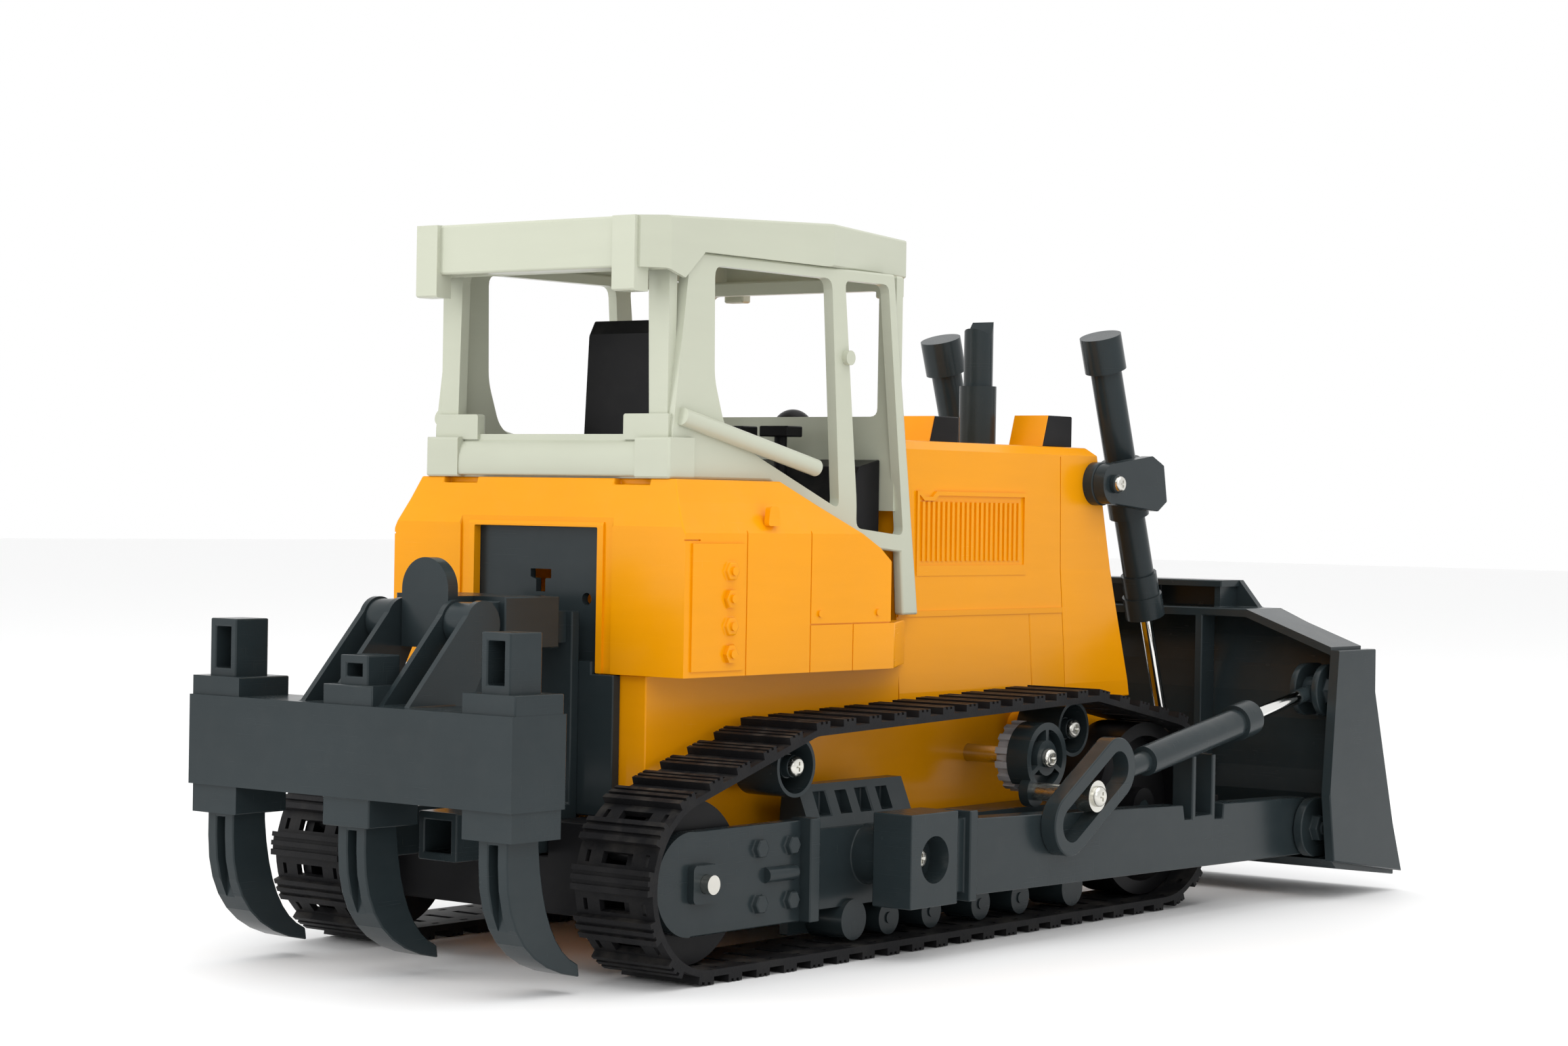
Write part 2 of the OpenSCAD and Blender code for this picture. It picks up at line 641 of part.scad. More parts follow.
// Mount of the ripper on the back of the hull, with the lugs that its links turn on.
module ripper_bracket() {
    color(slate) difference() {
        union() {
            block([-124, -121], [-17, 17], [29, 90]);
            block([-131, -122], [-15, 15], [82, 90]);
            block([-151, -131], [-19, 19], [81, 94]);
            block([-157, -150], [-8, 8], [81, 94]);
            slab_x(-160, -156.5) {
                translate([-8, 81]) square([16, 14.5]);
                translate([0, 95.5]) circle(8);
            }
            both_sides() {
                slab_y(10.3, 16.8) {
                    translate(ripper_pivot) circle(link_r - 0.5);
                    translate([ripper_pivot[0], 81.8]) square([-150 - ripper_pivot[0], 10.8]);
                }
                block([-165, -121], [4, 17], [29, 41]);
            }
        }
        both_sides() {
            bar_y(ripper_pivot, ripper_pin_d / 2 + run, 9, 18);
            block([-166, -126], [6, 15], [31, 39]);
        }
    }
}

// Sprocket: two discs joined by a ring of driving bars.
sprocket_bars = 14;
module sprocket() {
    color(black) difference() {
        union() {
            bar_y(sprocket_c, sprocket_r, wheel_in, wheel_in + 2.5);
            bar_y(sprocket_c, sprocket_r, wheel_out - 3, wheel_out);
            bar_y(sprocket_c, 6, wheel_in, wheel_out);
            for (i = [1:sprocket_bars])
                bar_y(sprocket_c + (sprocket_r - 3) * [cos(360 / sprocket_bars * i), sin(360 / sprocket_bars * i)],
                    2, wheel_in + 1, wheel_out - 1);
        }
        bar_y(sprocket_c, axle_d / 2, wheel_in - 1, wheel_out + 1);
    }
}
module drive_axle() {
    color(steel) bar_y(sprocket_c, axle_d / 2, axle_in, cover_out + 4.5);
}

module idler() {
    color(black) difference() {
        bar_y(idler_c, idler_r, wheel_in, wheel_out);
        difference() {
            bar_y(idler_c, idler_r - 4, wheel_out - 6, wheel_out + 1);
            bar_y(idler_c, 6, wheel_out - 7, wheel_out + 2);
        }
        bar_y(idler_c, 2.5 + run, wheel_in - 1, wheel_out + 1);
    }
}

module carrier_roller(c) {
    color(slate) difference() {
        bar_y(c, carrier_r, wheel_in, wheel_out);
        difference() {
            bar_y(c, carrier_r - 1, wheel_in + 4, wheel_out + 1);
            bar_y(c, 3.2, wheel_in + 3, wheel_out - 3);
        }
        bar_y(c, 2 + run, wheel_in - 1, wheel_out + 1);
    }
}

module bottom_roller(i) {
    c = [roller_xs[i], roller_z];
    color(slate) difference() {
        bar_y(c, roller_r, belt_in + 7.6, wheel_out + 0.6);
        bar_y(c, roller_pin_r + run, belt_in + 7, wheel_out + 2);
    }
}

// Lift crank: a shaft through the hull, with a gear, a spoked wheel and a pin on each end.
crank_out = track_half - 1.5;
module crank_wheels() {
    color(slate) both_sides() {
        difference() {
            bar_y(crank_c, 10, crank_out - 7, crank_out);
            difference() {
                bar_y(crank_c, 8, crank_out - 3, crank_out + 1);
                bar_y(crank_c, 5, crank_out - 4, crank_out + 2);
                for (a = [30:120:270]) translate([crank_c[0], 0, crank_c[1]]) rotate([0, a, 0])
                    block([0, 9], [crank_out - 4, crank_out + 1], [-0.7, 0.7]);
            }
            bar_y(crank_c, 2.5, crank_out - 8, crank_out + 1);
            bar_y(pin_c, 2.5, crank_out - 8, crank_out + 1);
        }
        difference() {
            bar_y(pin_c, 4.4, crank_out - 3, crank_out);
            bar_y(crank_c, 9.9, crank_out - 4, crank_out + 1);
            bar_y(pin_c, 2.5, crank_out - 8, crank_out + 1);
        }
    }
}
module crank_gears() {
    color([0.6, 0.62, 0.64]) both_sides() difference() {
        union() {
            bar_y(crank_c, 9, crank_out - 11, crank_out - 7);
            for (a = [0:24:336]) translate([crank_c[0], 0, crank_c[1]]) rotate([0, a, 0])
                block([8, 10], [crank_out - 11, crank_out - 7], [-0.9, 0.9]);
        }
        bar_y(crank_c, 2.5, crank_out - 12, crank_out);
    }
}
module crank_shaft() {
    color(steel) {
        bar_y(crank_c, 2.5, -crank_out - 0.5, crank_out + 0.5);
        both_sides() {
            bar_y(pin_c, 2.5, crank_out - 3, arm_out + 0.6);
            bar_y(pin_c, washer_r, arm_out + 0.6, arm_out + 5.4);
        }
    }
}

// Blade: curved sheet with end plates, flange, spill guard, cutting edge, ribs and lugs.
function blade_face(n) = curve([166, blade_top], [143, 44], [180, 9], n);
arm_lug_out = arm_out + 3.3;
strut_lug_out = strut_y + 4.8;
module blade_sheet_2d() {
    face = blade_face(10);
    polygon(concat(face, [for (i = [10:-1:0]) face[i] - [blade_t, 0]]));
}
module blade() {
    inner = blade_half - blade_t;
    color(slate) {
        slab_y(-58, 58) blade_sheet_2d();
        both_sides() {
            intersection() {
                slab_y(58, inner) blade_sheet_2d();
                slab_x(130, 190) polygon([[58, 0], [inner + 1, 0], [inner + 1, 76.3], [58, blade_top]]);
            }
            slab_y(inner, blade_half) polygon([[144, 76.3], [142.8, 64.7], [139.8, 32.2], [143, 12], [187.2, 5.8],
                [180.9, 21.3], [167.8, 63], [167.6, 76.3]]);
            // Sloping part of the top flange.
            slab_x(144, 163.2) polygon([[58, blade_top], [inner, 77.3], [inner, 74.8], [58, blade_top - 2.5]]);
            slab_x(144, 152) polygon([[40, 40], [42.4, 40], [42.4, blade_top - 2.5], [40, blade_top - 2.5]]);
            // Lug pairs for the push arm and the tilt strut.
            difference() {
                union() {
                    link_y(arm_bolt, arm_bolt + [12, 0], 9, arm_out + 0.3, arm_lug_out);
                    link_y(strut_b, strut_b + [6, 0], 8, strut_lug_out - 2.2, strut_lug_out);
                    link_y(strut_b, strut_b + [6, 0], 8, strut_y - 4.8, strut_y - 2.6);
                }
                slab_y(60, 90) translate(blade_face(10)[5] - [0, 100]) square([40, 200]);
            }
            bar_y(strut_b, 2.2, strut_y - 4.8, strut_lug_out + 2.4);
            hex_y(strut_b, 7.4, strut_lug_out, strut_lug_out + 2.1);
            bar_y(arm_bolt, 2.2, arm_out - 4, arm_lug_out + 3.4);
            hex_y(arm_bolt, 7.4, arm_lug_out, arm_lug_out + 2.6);
            // Lug of the lift rod.
            link_y(lift_low, lift_low + [8, 0], 4, lift_y - 4.8, lift_y - 2.6);
            link_y(lift_low, lift_low + [8, 0], 4, lift_y + 2.6, lift_y + 4.8);
            bar_y(lift_low, 1.2, lift_y - 4.8, lift_y + 4.8);
        }
        // Top flange and the spill guard on it.
        block([144, 163.2], [-58, 58], [blade_top - 2.5, blade_top]);
        slab_x(162, 165) polygon([[-53, blade_top - 1], [53, blade_top - 1], [45, 96.5], [-45, 96.5]]);
        block([151, 163], [-45, 45], [94.5, 96.5]);
        for (y = [-43, -15, 15, 43]) block([152, 163], [y - 1, y + 1], [blade_top - 1, 95]);
        // Bottom flange and cutting edge.
        slab_y(-inner, inner) polygon([[146, 12], [150, 9], [187, 4.5], [187, 5.8], [178, 12], [176, 14]]);
    }
}

// Push arm with its pivot block, joined by a neck, a rear flange, and a hole for the blade bolt.
module push_arm() {
    color(slate) difference() {
        union() {
            slab_y(arm_in, arm_out) polygon([[-34, 35.8], [74, 32.6], [75, 28.4], [96.5, 27.4], [97, 31.8],
                [arm_bolt[0] - 2, 30.8], [arm_bolt[0] + 6, 27], [arm_bolt[0] + 6, 16],
                [arm_bolt[0] - 2, 13.2], [-34, 15.4]]);
            block([-35.5, -32], [arm_in - 1, arm_out + 1], [14, 38]);
            block([-42, -34], [arm_in - 1, arm_out - 1], [16.5, 36]);
            block([-62, -41], [boss_y + 0.3, arm_out + 1], [14, 38.5]);
            // Twin ribs that carry the tilt strut.
            for (x = [79, 90]) block([x, x + 2], [arm_in, arm_out], [26, 46.8]);
            block([79, 92], [arm_in, arm_out], [26, 29]);
        }
        bar_y(trunnion, trunnion_d / 2 + run, boss_y, 74.3);
        bar_y(trunnion, 6.2, 73.9, arm_out + 2);
        bar_y(arm_bolt, 2.2, arm_out - 4, arm_out + 1);
    }
}

// Tilt strut: slotted link, barrel and collar, and the eye on the blade end of its rod.
module along_strut(from, to, r) {
    translate([strut_a[0], strut_y, strut_a[1]]) rotate([0, 90 - strut_angle, 0])
        translate([0, 0, from]) cylinder(h = to - from, r = r);
}
module tilt_strut() {
    color(slate) {
        difference() {
            link_y(slot_a, slot_b, slot_half + 3.8, arm_out + 0.02, arm_out + 5);
            link_y(slot_a, slot_b, slot_half, arm_out - 1, arm_out + 6);
        }
        difference() {
            union() {
                along_strut(-2, 9, 2.9);
                along_strut(9, 64, 4.3);
                along_strut(60, 68, 5.4);
            }
            along_strut(50, 69, 2);
        }
        difference() {
            union() {
                along_strut(strut_len - 12, strut_len - 2, 2.3);
                bar_y(strut_b, 4.2, strut_y - 2.4, strut_y + 2.4);
            }
            bar_y(strut_b, 2.2, strut_y - 4, strut_y + 4);
            along_strut(strut_len - 13, strut_len - 6, 2);
        }
    }
}
module strut_rods() {
    color(steel) both_sides() along_strut(50.2, strut_len - 6.2, 2);
}

// Lift cylinder: barrel with cap, collar and a clamp that turns on the hood's boss.
module along_lift(from, to, r) {
    translate([barrel_top[0], lift_y, barrel_top[1]]) rotate([0, 180 - lift_lean, 0])
        translate([0, 0, from]) cylinder(h = to - from, r = r);
}
module lift_barrel() {
    clamp_c = barrel_top + clamp_at * lift_dir;
    color(slate) difference() {
        union() {
            along_lift(0, barrel_len + 5, barrel_r);
            along_lift(0, 11, barrel_r + 1.6);
            along_lift(barrel_len - 5, barrel_len + 3, barrel_r + 0.8);
            along_lift(barrel_len + 2, barrel_len + 9, barrel_r + 1.4);
            along_lift(clamp_at - 8, clamp_at + 10, barrel_r + 1.4);
            slab_y(hood_half + 3.7, hood_half + 7.4) {
                translate(lift_pivot) circle(6.2);
                polygon([lift_pivot + [-1, 6], clamp_c + [-2, 9], clamp_c + [5, 6], clamp_c + [7, -5],
                    clamp_c + [2, -8], lift_pivot + [-1, -6]]);
            }
            slab_y(lift_y + 2, hood_half + 7.4) polygon([clamp_c + [-2, 8], clamp_c + [3, 7],
                clamp_c + [6, -4], clamp_c + [2, -7]]);
        }
        along_lift(12, barrel_len + 12, rod_d / 2 + run);
        bar_y(lift_pivot, 2.5 + run, hood_half, hood_half + 12);
    }
}
module lift_rod() {
    color(steel) difference() {
        union() {
            along_lift(60, rod_low - 1.5, rod_d / 2);
            bar_y(lift_low, 3, lift_y - 2.2, lift_y + 2.2);
        }
        bar_y(lift_low, 1.6, lift_y - 3, lift_y + 3);
    }
}

// Ripper beam with socket caps for three shanks and four inclined links.
module ripper_beam() {
    color(slate) {
        difference() {
            union() {
                block(beam_x, [-beam_half, beam_half], beam_z);
                for (y = [-shank_y, 0, shank_y]) {
                    block([beam_x[0] + 1, beam_x[1] - 1], [y - 8.5, y + 8.5], [beam_z[1] - 1, 72.5]);
                    block([beam_x[0] + 1, beam_x[1] - 1], [y - 8, y + 8], [38, beam_z[0] + 1]);
                }
            }
            for (y = [-shank_y, 0, shank_y])
                block([shank_x[0] - 0.02, shank_x[1] + 0.02], [y - shank_w / 2 - 0.02, y + shank_w / 2 + 0.02], [30, 80]);
        }
        both_sides() {
            for (y = [8.45, 17.1]) difference() {
                slab_y(y, y + 1.6) {
                    translate(ripper_pivot) circle(link_r);
                    polygon([ripper_pivot + [-5.5, 2.4], [beam_x[0] + 3.2, beam_z[1]], [beam_x[1] + 5.6, beam_z[1]],
                        ripper_pivot + [5.9, -1]]);
                }
            }
            slab_y(8.45, 18.7) polygon([[beam_x[1], beam_z[1] - 10], [beam_x[1] + 5.6, beam_z[1] - 6],
                [beam_x[1] + 5.6, beam_z[1]], [beam_x[1], beam_z[1]]]);
            bar_y(ripper_pivot, ripper_pin_d / 2, 9, 18);
        }
    }
}
module shank(y, top) {
    rear = curve([shank_x[0], 32], [shank_x[0], 8], [-158, 3.9], 8);
    front = curve([-158.5, 7], [shank_x[1] + 2, 12], [shank_x[1], 36], 8);
    difference() {
        slab_y(y - shank_w / 2, y + shank_w / 2) union() {
            translate([shank_x[0], 32]) square([shank_x[1] - shank_x[0], top - 32]);
            polygon(concat(rear, front));
        }
        // Open pocket in the head and the groove down the back.
        block([shank_x[0] - 1, shank_x[1] - 3], [y - shank_w / 2 + 2, y + shank_w / 2 - 2], [74.5, top - 2]);
        block([shank_x[0] - 1, shank_x[0] + 4], [y - 1.5, y + 1.5], [9, 37]);
    }
}
module ripper_shanks() {
    color(slate) {
        for (y = [-shank_y, shank_y]) shank(y, 87);
        shank(0, 79.7);
    }
}

lower_hull();
belly_cover();
rear_housing();
rear_panel();
hood();
cab_frame();
cab_roof();
console();
operator_seat();
control_levers();
exhaust_stack();
precleaner();
headlight_frames();
headlight_lenses();
battery_pack();
circuit_board();
drive_motors();
gearbox_cases();
final_drive_case();
right_side() track_frame();  // track_frame_right
track_frame();  // track_frame_left
right_side() side_cover();  // side_cover_right
side_cover();  // side_cover_left
right_side() track_belt();  // track_belt_right
track_belt();  // track_belt_left
trunnion_screws();
ripper_bracket();
right_side() sprocket();  // sprocket_right
sprocket();  // sprocket_left
right_side() drive_axle();  // drive_axle_right
drive_axle();  // drive_axle_left
right_side() idler();  // idler_right
idler();  // idler_left
right_side() carrier_roller(rear_carrier_c);  // rear_carrier_right
carrier_roller(rear_carrier_c);  // rear_carrier_left
right_side() carrier_roller(front_carrier_c);  // front_carrier_right
carrier_roller(front_carrier_c);  // front_carrier_left
right_side() bottom_roller(0);  // roller_right_1
right_side() bottom_roller(1);  // roller_right_2
right_side() bottom_roller(2);  // roller_right_3
right_side() bottom_roller(3);  // roller_right_4
bottom_roller(0);  // roller_left_1
bottom_roller(1);  // roller_left_2
bottom_roller(2);  // roller_left_3
bottom_roller(3);  // roller_left_4
crank_wheels();
crank_gears();
crank_shaft();
blade();
right_side() push_arm();  // push_arm_right
push_arm();  // push_arm_left
right_side() tilt_strut();  // tilt_strut_right
tilt_strut();  // tilt_strut_left
strut_rods();
right_side() lift_barrel();  // lift_barrel_right
lift_barrel();  // lift_barrel_left
right_side() lift_rod();  // lift_rod_right
lift_rod();  // lift_rod_left
ripper_beam();
ripper_shanks();
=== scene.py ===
"""Toy crawler bulldozer: mouldings, rubber belts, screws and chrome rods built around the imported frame.

Metres. X points to the blade, Y to the left side and Z up. The belts stand on z = 0.
"""
import json
import math

import bmesh
import bpy
from mathutils import Matrix, Vector
from mathutils.bvhtree import BVHTree
from mathutils.geometry import intersect_point_line

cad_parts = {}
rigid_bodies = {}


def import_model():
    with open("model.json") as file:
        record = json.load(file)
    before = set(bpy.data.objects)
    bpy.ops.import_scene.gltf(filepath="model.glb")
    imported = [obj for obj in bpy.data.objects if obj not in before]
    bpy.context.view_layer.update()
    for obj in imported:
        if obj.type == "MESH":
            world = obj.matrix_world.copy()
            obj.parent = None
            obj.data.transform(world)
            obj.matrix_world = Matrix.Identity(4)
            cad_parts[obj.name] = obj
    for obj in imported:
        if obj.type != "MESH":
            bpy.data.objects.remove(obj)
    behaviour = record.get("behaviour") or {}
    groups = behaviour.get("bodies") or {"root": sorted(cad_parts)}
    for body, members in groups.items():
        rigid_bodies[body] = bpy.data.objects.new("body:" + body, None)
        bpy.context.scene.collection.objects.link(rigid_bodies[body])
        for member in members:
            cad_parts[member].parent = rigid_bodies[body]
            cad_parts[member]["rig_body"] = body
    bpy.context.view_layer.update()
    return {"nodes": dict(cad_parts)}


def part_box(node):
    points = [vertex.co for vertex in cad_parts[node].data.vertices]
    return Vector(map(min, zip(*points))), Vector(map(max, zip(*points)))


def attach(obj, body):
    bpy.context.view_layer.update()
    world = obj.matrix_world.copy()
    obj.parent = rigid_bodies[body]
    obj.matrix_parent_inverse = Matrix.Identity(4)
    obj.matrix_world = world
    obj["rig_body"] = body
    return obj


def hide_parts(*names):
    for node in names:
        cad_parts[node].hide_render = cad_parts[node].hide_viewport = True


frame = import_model()


# --- Camera -----------------------------------------------------------------------------------
# A long lens stands well behind the machine's right rear corner, at the height of its hood.
# Its view runs along the machine, so the ripper is nearest and the blade is furthest.
CAMERA_PLACE = Vector((-0.74297, -0.57132, 0.11813))
CAMERA_YAW = math.radians(38.152)
CAMERA_PITCH = math.radians(-0.327)
CAMERA_ROLL = math.radians(0.974)
FOCAL_LENGTH = 74.79
SENSOR_WIDTH = 36

forward = Vector((math.cos(CAMERA_PITCH) * math.cos(CAMERA_YAW),
                  math.cos(CAMERA_PITCH) * math.sin(CAMERA_YAW), math.sin(CAMERA_PITCH)))
level = forward.cross(Vector((0, 0, 1))).normalized()
upward = level.cross(forward)
right = level * math.cos(CAMERA_ROLL) + upward * math.sin(CAMERA_ROLL)
upright = upward * math.cos(CAMERA_ROLL) - level * math.sin(CAMERA_ROLL)
camera_data = bpy.data.cameras.new("camera")
camera_data.lens = FOCAL_LENGTH
camera_data.sensor_width = SENSOR_WIDTH
camera_data.clip_start = 0.01
camera = bpy.data.objects.new("camera", camera_data)
turn = Matrix((right, upright, -forward)).transposed().to_4x4()
camera.matrix_world = Matrix.Translation(CAMERA_PLACE) @ turn
bpy.context.scene.collection.objects.link(camera)
bpy.context.scene.camera = camera


# --- Floor and light --------------------------------------------------------------------------
# A pale seamless floor lies under a white surround. A large softbox hangs overhead, a smaller one
# stands behind the camera, and a strip light on the camera's left draws long soft highlights.
def add(tree, kind, inputs=None, **settings):
    """Adds a node to a tree. Each input is a plain value, or the output of another node."""
    node = tree.nodes.new(kind)
    for name, value in settings.items():
        setattr(node, name, value)
    for name, value in (inputs or {}).items():
        if isinstance(value, bpy.types.NodeSocket):
            tree.links.new(value, node.inputs[name])
        else:
            node.inputs[name].default_value = value
    return node


def mesh_object(name, mesh, smooth_angle=35):
    """Turns a bmesh into a linked object with smooth faces and sharp corners."""
    data = bpy.data.meshes.new(name)
    mesh.to_mesh(data)
    mesh.free()
    for face in data.polygons:
        face.use_smooth = True
    data.set_sharp_from_angle(angle=math.radians(smooth_angle))
    made = bpy.data.objects.new(name, data)
    bpy.context.scene.collection.objects.link(made)
    return made


MM = 0.001  # one millimetre in metres
FLOOR_HALF_SIZE = 6
FLOOR_DROP = 0.2 * MM
FLOOR_GREY = 0.93
floor_mesh = bmesh.new()
bmesh.ops.create_grid(floor_mesh, x_segments=1, y_segments=1, size=FLOOR_HALF_SIZE)
floor = mesh_object("floor", floor_mesh)
floor.location.z = -FLOOR_DROP
floor_paint = bpy.data.materials.new("floor_paint")
floor_paint.use_nodes = True
floor_shader = floor_paint.node_tree.nodes["Principled BSDF"]
floor_shader.inputs["Base Color"].default_value = (FLOOR_GREY, FLOOR_GREY, FLOOR_GREY, 1)
floor_shader.inputs["Roughness"].default_value = 0.6
floor.data.materials.append(floor_paint)

world = bpy.data.worlds.new("surround")
world.use_nodes = True
sky = world.node_tree.nodes["Background"]
sky.inputs["Strength"].default_value = 1.0
sky.inputs["Color"].default_value = (1, 1, 1, 1)
bpy.context.scene.world = world
bpy.context.scene.view_settings.view_transform = "Standard"


def softbox(name, place, target, size, power):
    """Rectangular area light that faces a point."""
    data = bpy.data.lights.new(name, "AREA")
    data.shape = "RECTANGLE"
    data.size, data.size_y = size
    data.energy = power
    lamp = bpy.data.objects.new(name, data)
    lamp.location = place
    lamp.rotation_euler = (Vector(target) - Vector(place)).to_track_quat("-Z", "Y").to_euler()
    bpy.context.scene.collection.objects.link(lamp)


softbox("overhead_softbox", (-0.1, -0.3, 1.4), (0, 0, 0), (1.6, 1.6), 9)
softbox("front_softbox", (-1.5, -1.3, 1.0), (0, 0, 0.08), (1.0, 0.8), 5)
softbox("side_strip", (-1.1, 0.6, 0.6), (-0.1, 0, 0.1), (0.3, 1.2), 4)


# --- Plastic, rubber and metal ----------------------------------------------------------------
# The mouldings are glossy plastic with a faint flow pattern, the belts are black rubber, and the
# rods and screws are plated steel. Each finish mixes the same few effects in its own amounts.
def effect(name, inputs, outputs):
    """Starts a shader node group with named sockets, and returns it with its two end nodes."""
    tree = bpy.data.node_groups.new(name, "ShaderNodeTree")
    for socket, kind in inputs.items():
        tree.interface.new_socket(name=socket, in_out="INPUT", socket_type=kind)
    for socket, kind in outputs.items():
        tree.interface.new_socket(name=socket, in_out="OUTPUT", socket_type=kind)
    return tree, add(tree, "NodeGroupInput"), add(tree, "NodeGroupOutput")


def stretched_noise(tree, stretch, scale, detail=2.0):
    """Noise on the piece's own coordinates, pulled out along the axes."""
    place = add(tree, "ShaderNodeTexCoord").outputs["Object"]
    pulled = add(tree, "ShaderNodeMapping", {"Vector": place, "Scale": stretch})
    return add(tree, "ShaderNodeTexNoise", {"Vector": pulled.outputs["Vector"], "Scale": scale,
                                            "Detail": detail}).outputs["Fac"]


def band(tree, value, low, high, to_low, to_high):
    """Maps a range of a value to another range, held at its ends."""
    return add(tree, "ShaderNodeMapRange", {"Value": value, "From Min": low, "From Max": high,
                                            "To Min": to_low, "To Max": to_high}).outputs["Result"]


def times(tree, first, second):
    """Product of two values."""
    return add(tree, "ShaderNodeMath", {0: first, 1: second}, operation="MULTIPLY").outputs[0]


def plus(tree, first, second):
    """Sum of two values."""
    return add(tree, "ShaderNodeMath", {0: first, 1: second}, operation="ADD").outputs[0]


flow_marks, ins, outs = effect(
    "flow_marks", {"Colour": "NodeSocketColor", "Amount": "NodeSocketFloat"}, {"Colour": "NodeSocketColor"})
broad = band(flow_marks, stretched_noise(flow_marks, (1, 1, 1), 22.0), 0.3, 0.7, -1.0, 1.0)
streaks = band(flow_marks, stretched_noise(flow_marks, (8, 8, 60), 5.0, 3.0), 0.3, 0.7, -0.5, 0.5)
swing = times(flow_marks, plus(flow_marks, broad, streaks), ins.outputs["Amount"])
shaded = add(flow_marks, "ShaderNodeHueSaturation", {"Color": ins.outputs["Colour"],
                                                     "Value": plus(flow_marks, swing, 1.0)})
flow_marks.links.new(shaded.outputs["Color"], outs.inputs["Colour"])

scuffs, ins, outs = effect("scuffs", {"Gloss": "NodeSocketFloat", "Amount": "NodeSocketFloat"},
                           {"Roughness": "NodeSocketFloat", "Mask": "NodeSocketFloat"})
long_hairs = band(scuffs, stretched_noise(scuffs, (6, 6, 420), 9.0, 4.0), 0.62, 0.75, 0.0, 1.0)
cross_hairs = band(scuffs, stretched_noise(scuffs, (380, 30, 20), 7.0, 4.0), 0.64, 0.76, 0.0, 1.0)
patches = band(scuffs, stretched_noise(scuffs, (1, 1, 1), 45.0, 3.0), 0.42, 0.7, 0.0, 1.0)
hairs = times(scuffs, plus(scuffs, long_hairs, cross_hairs), patches)
PATCH_SHARE = 0.35
worn_spots = plus(scuffs, hairs, times(scuffs, patches, PATCH_SHARE))
scuff_mask = times(scuffs, worn_spots, ins.outputs["Amount"])
scuffs.links.new(plus(scuffs, ins.outputs["Gloss"], scuff_mask), outs.inputs["Roughness"])
scuffs.links.new(scuff_mask, outs.inputs["Mask"])

grain, ins, outs = effect("grain", {"Size": "NodeSocketFloat"}, {"Height": "NodeSocketFloat"})
place = add(grain, "ShaderNodeTexCoord").outputs["Object"]
per_metre = add(grain, "ShaderNodeMath", {0: 1.0, 1: ins.outputs["Size"]},
                operation="DIVIDE").outputs[0]
pebbles = add(grain, "ShaderNodeTexNoise", {"Vector": place, "Scale": per_metre, "Detail": 3.0})
grain.links.new(pebbles.outputs["Fac"], outs.inputs["Height"])

DUST_COLOUR = (0.42, 0.38, 0.32, 1)
settled_dust, ins, outs = effect(
    "settled_dust", {"Colour": "NodeSocketColor", "Amount": "NodeSocketFloat"}, {"Colour": "NodeSocketColor"})
facing = add(settled_dust, "ShaderNodeSeparateXYZ",
             {"Vector": add(settled_dust, "ShaderNodeNewGeometry").outputs["Normal"]}).outputs["Z"]
lying = band(settled_dust, facing, 0.2, 1.0, 0.15, 1.0)
specks = band(settled_dust, stretched_noise(settled_dust, (1, 1, 1), 160.0, 5.0), 0.45, 0.8, 0.0, 1.0)
dust_mask = times(settled_dust, times(settled_dust, lying, specks), ins.outputs["Amount"])
dusted = add(settled_dust, "ShaderNodeMix", {"Factor": dust_mask, "A": ins.outputs["Colour"],
                                             "B": DUST_COLOUR}, data_type="RGBA")
settled_dust.links.new(dusted.outputs["Result"], outs.inputs["Colour"])


COAT_ROUGHNESS = 0.08
GRAIN_HEIGHT = 0.4 * MM


def finish(name, colour, roughness, metallic=0.0, coat=0.0, gloss=0.36, shade=0.05, scuff=0.1,
           dust=0.05, grain_size=0.0006, grain_depth=0.02):
    """A finish: its colour and gloss, with its own amounts of flow marks, scuffs, dust and grain."""
    made = bpy.data.materials.new(name)
    made.use_nodes = True
    tree = made.node_tree
    shader = tree.nodes["Principled BSDF"]
    shader.inputs["Metallic"].default_value = metallic
    shader.inputs["Coat Weight"].default_value = coat
    shader.inputs["Coat Roughness"].default_value = COAT_ROUGHNESS
    shader.inputs["Specular IOR Level"].default_value = gloss
    flow = add(tree, "ShaderNodeGroup", {"Colour": (*colour, 1), "Amount": shade}, node_tree=flow_marks)
    dusty = add(tree, "ShaderNodeGroup", {"Colour": flow.outputs["Colour"], "Amount": dust},
                node_tree=settled_dust)
    worn = add(tree, "ShaderNodeGroup", {"Gloss": roughness, "Amount": scuff}, node_tree=scuffs)
    pebbled = add(tree, "ShaderNodeGroup", {"Size": grain_size}, node_tree=grain)
    bump = add(tree, "ShaderNodeBump", {"Height": pebbled.outputs["Height"], "Strength": grain_depth,
                                        "Distance": GRAIN_HEIGHT})
    tree.links.new(dusty.outputs["Colour"], shader.inputs["Base Color"])
    tree.links.new(worn.outputs["Roughness"], shader.inputs["Roughness"])
    tree.links.new(bump.outputs["Normal"], shader.inputs["Normal"])
    return made


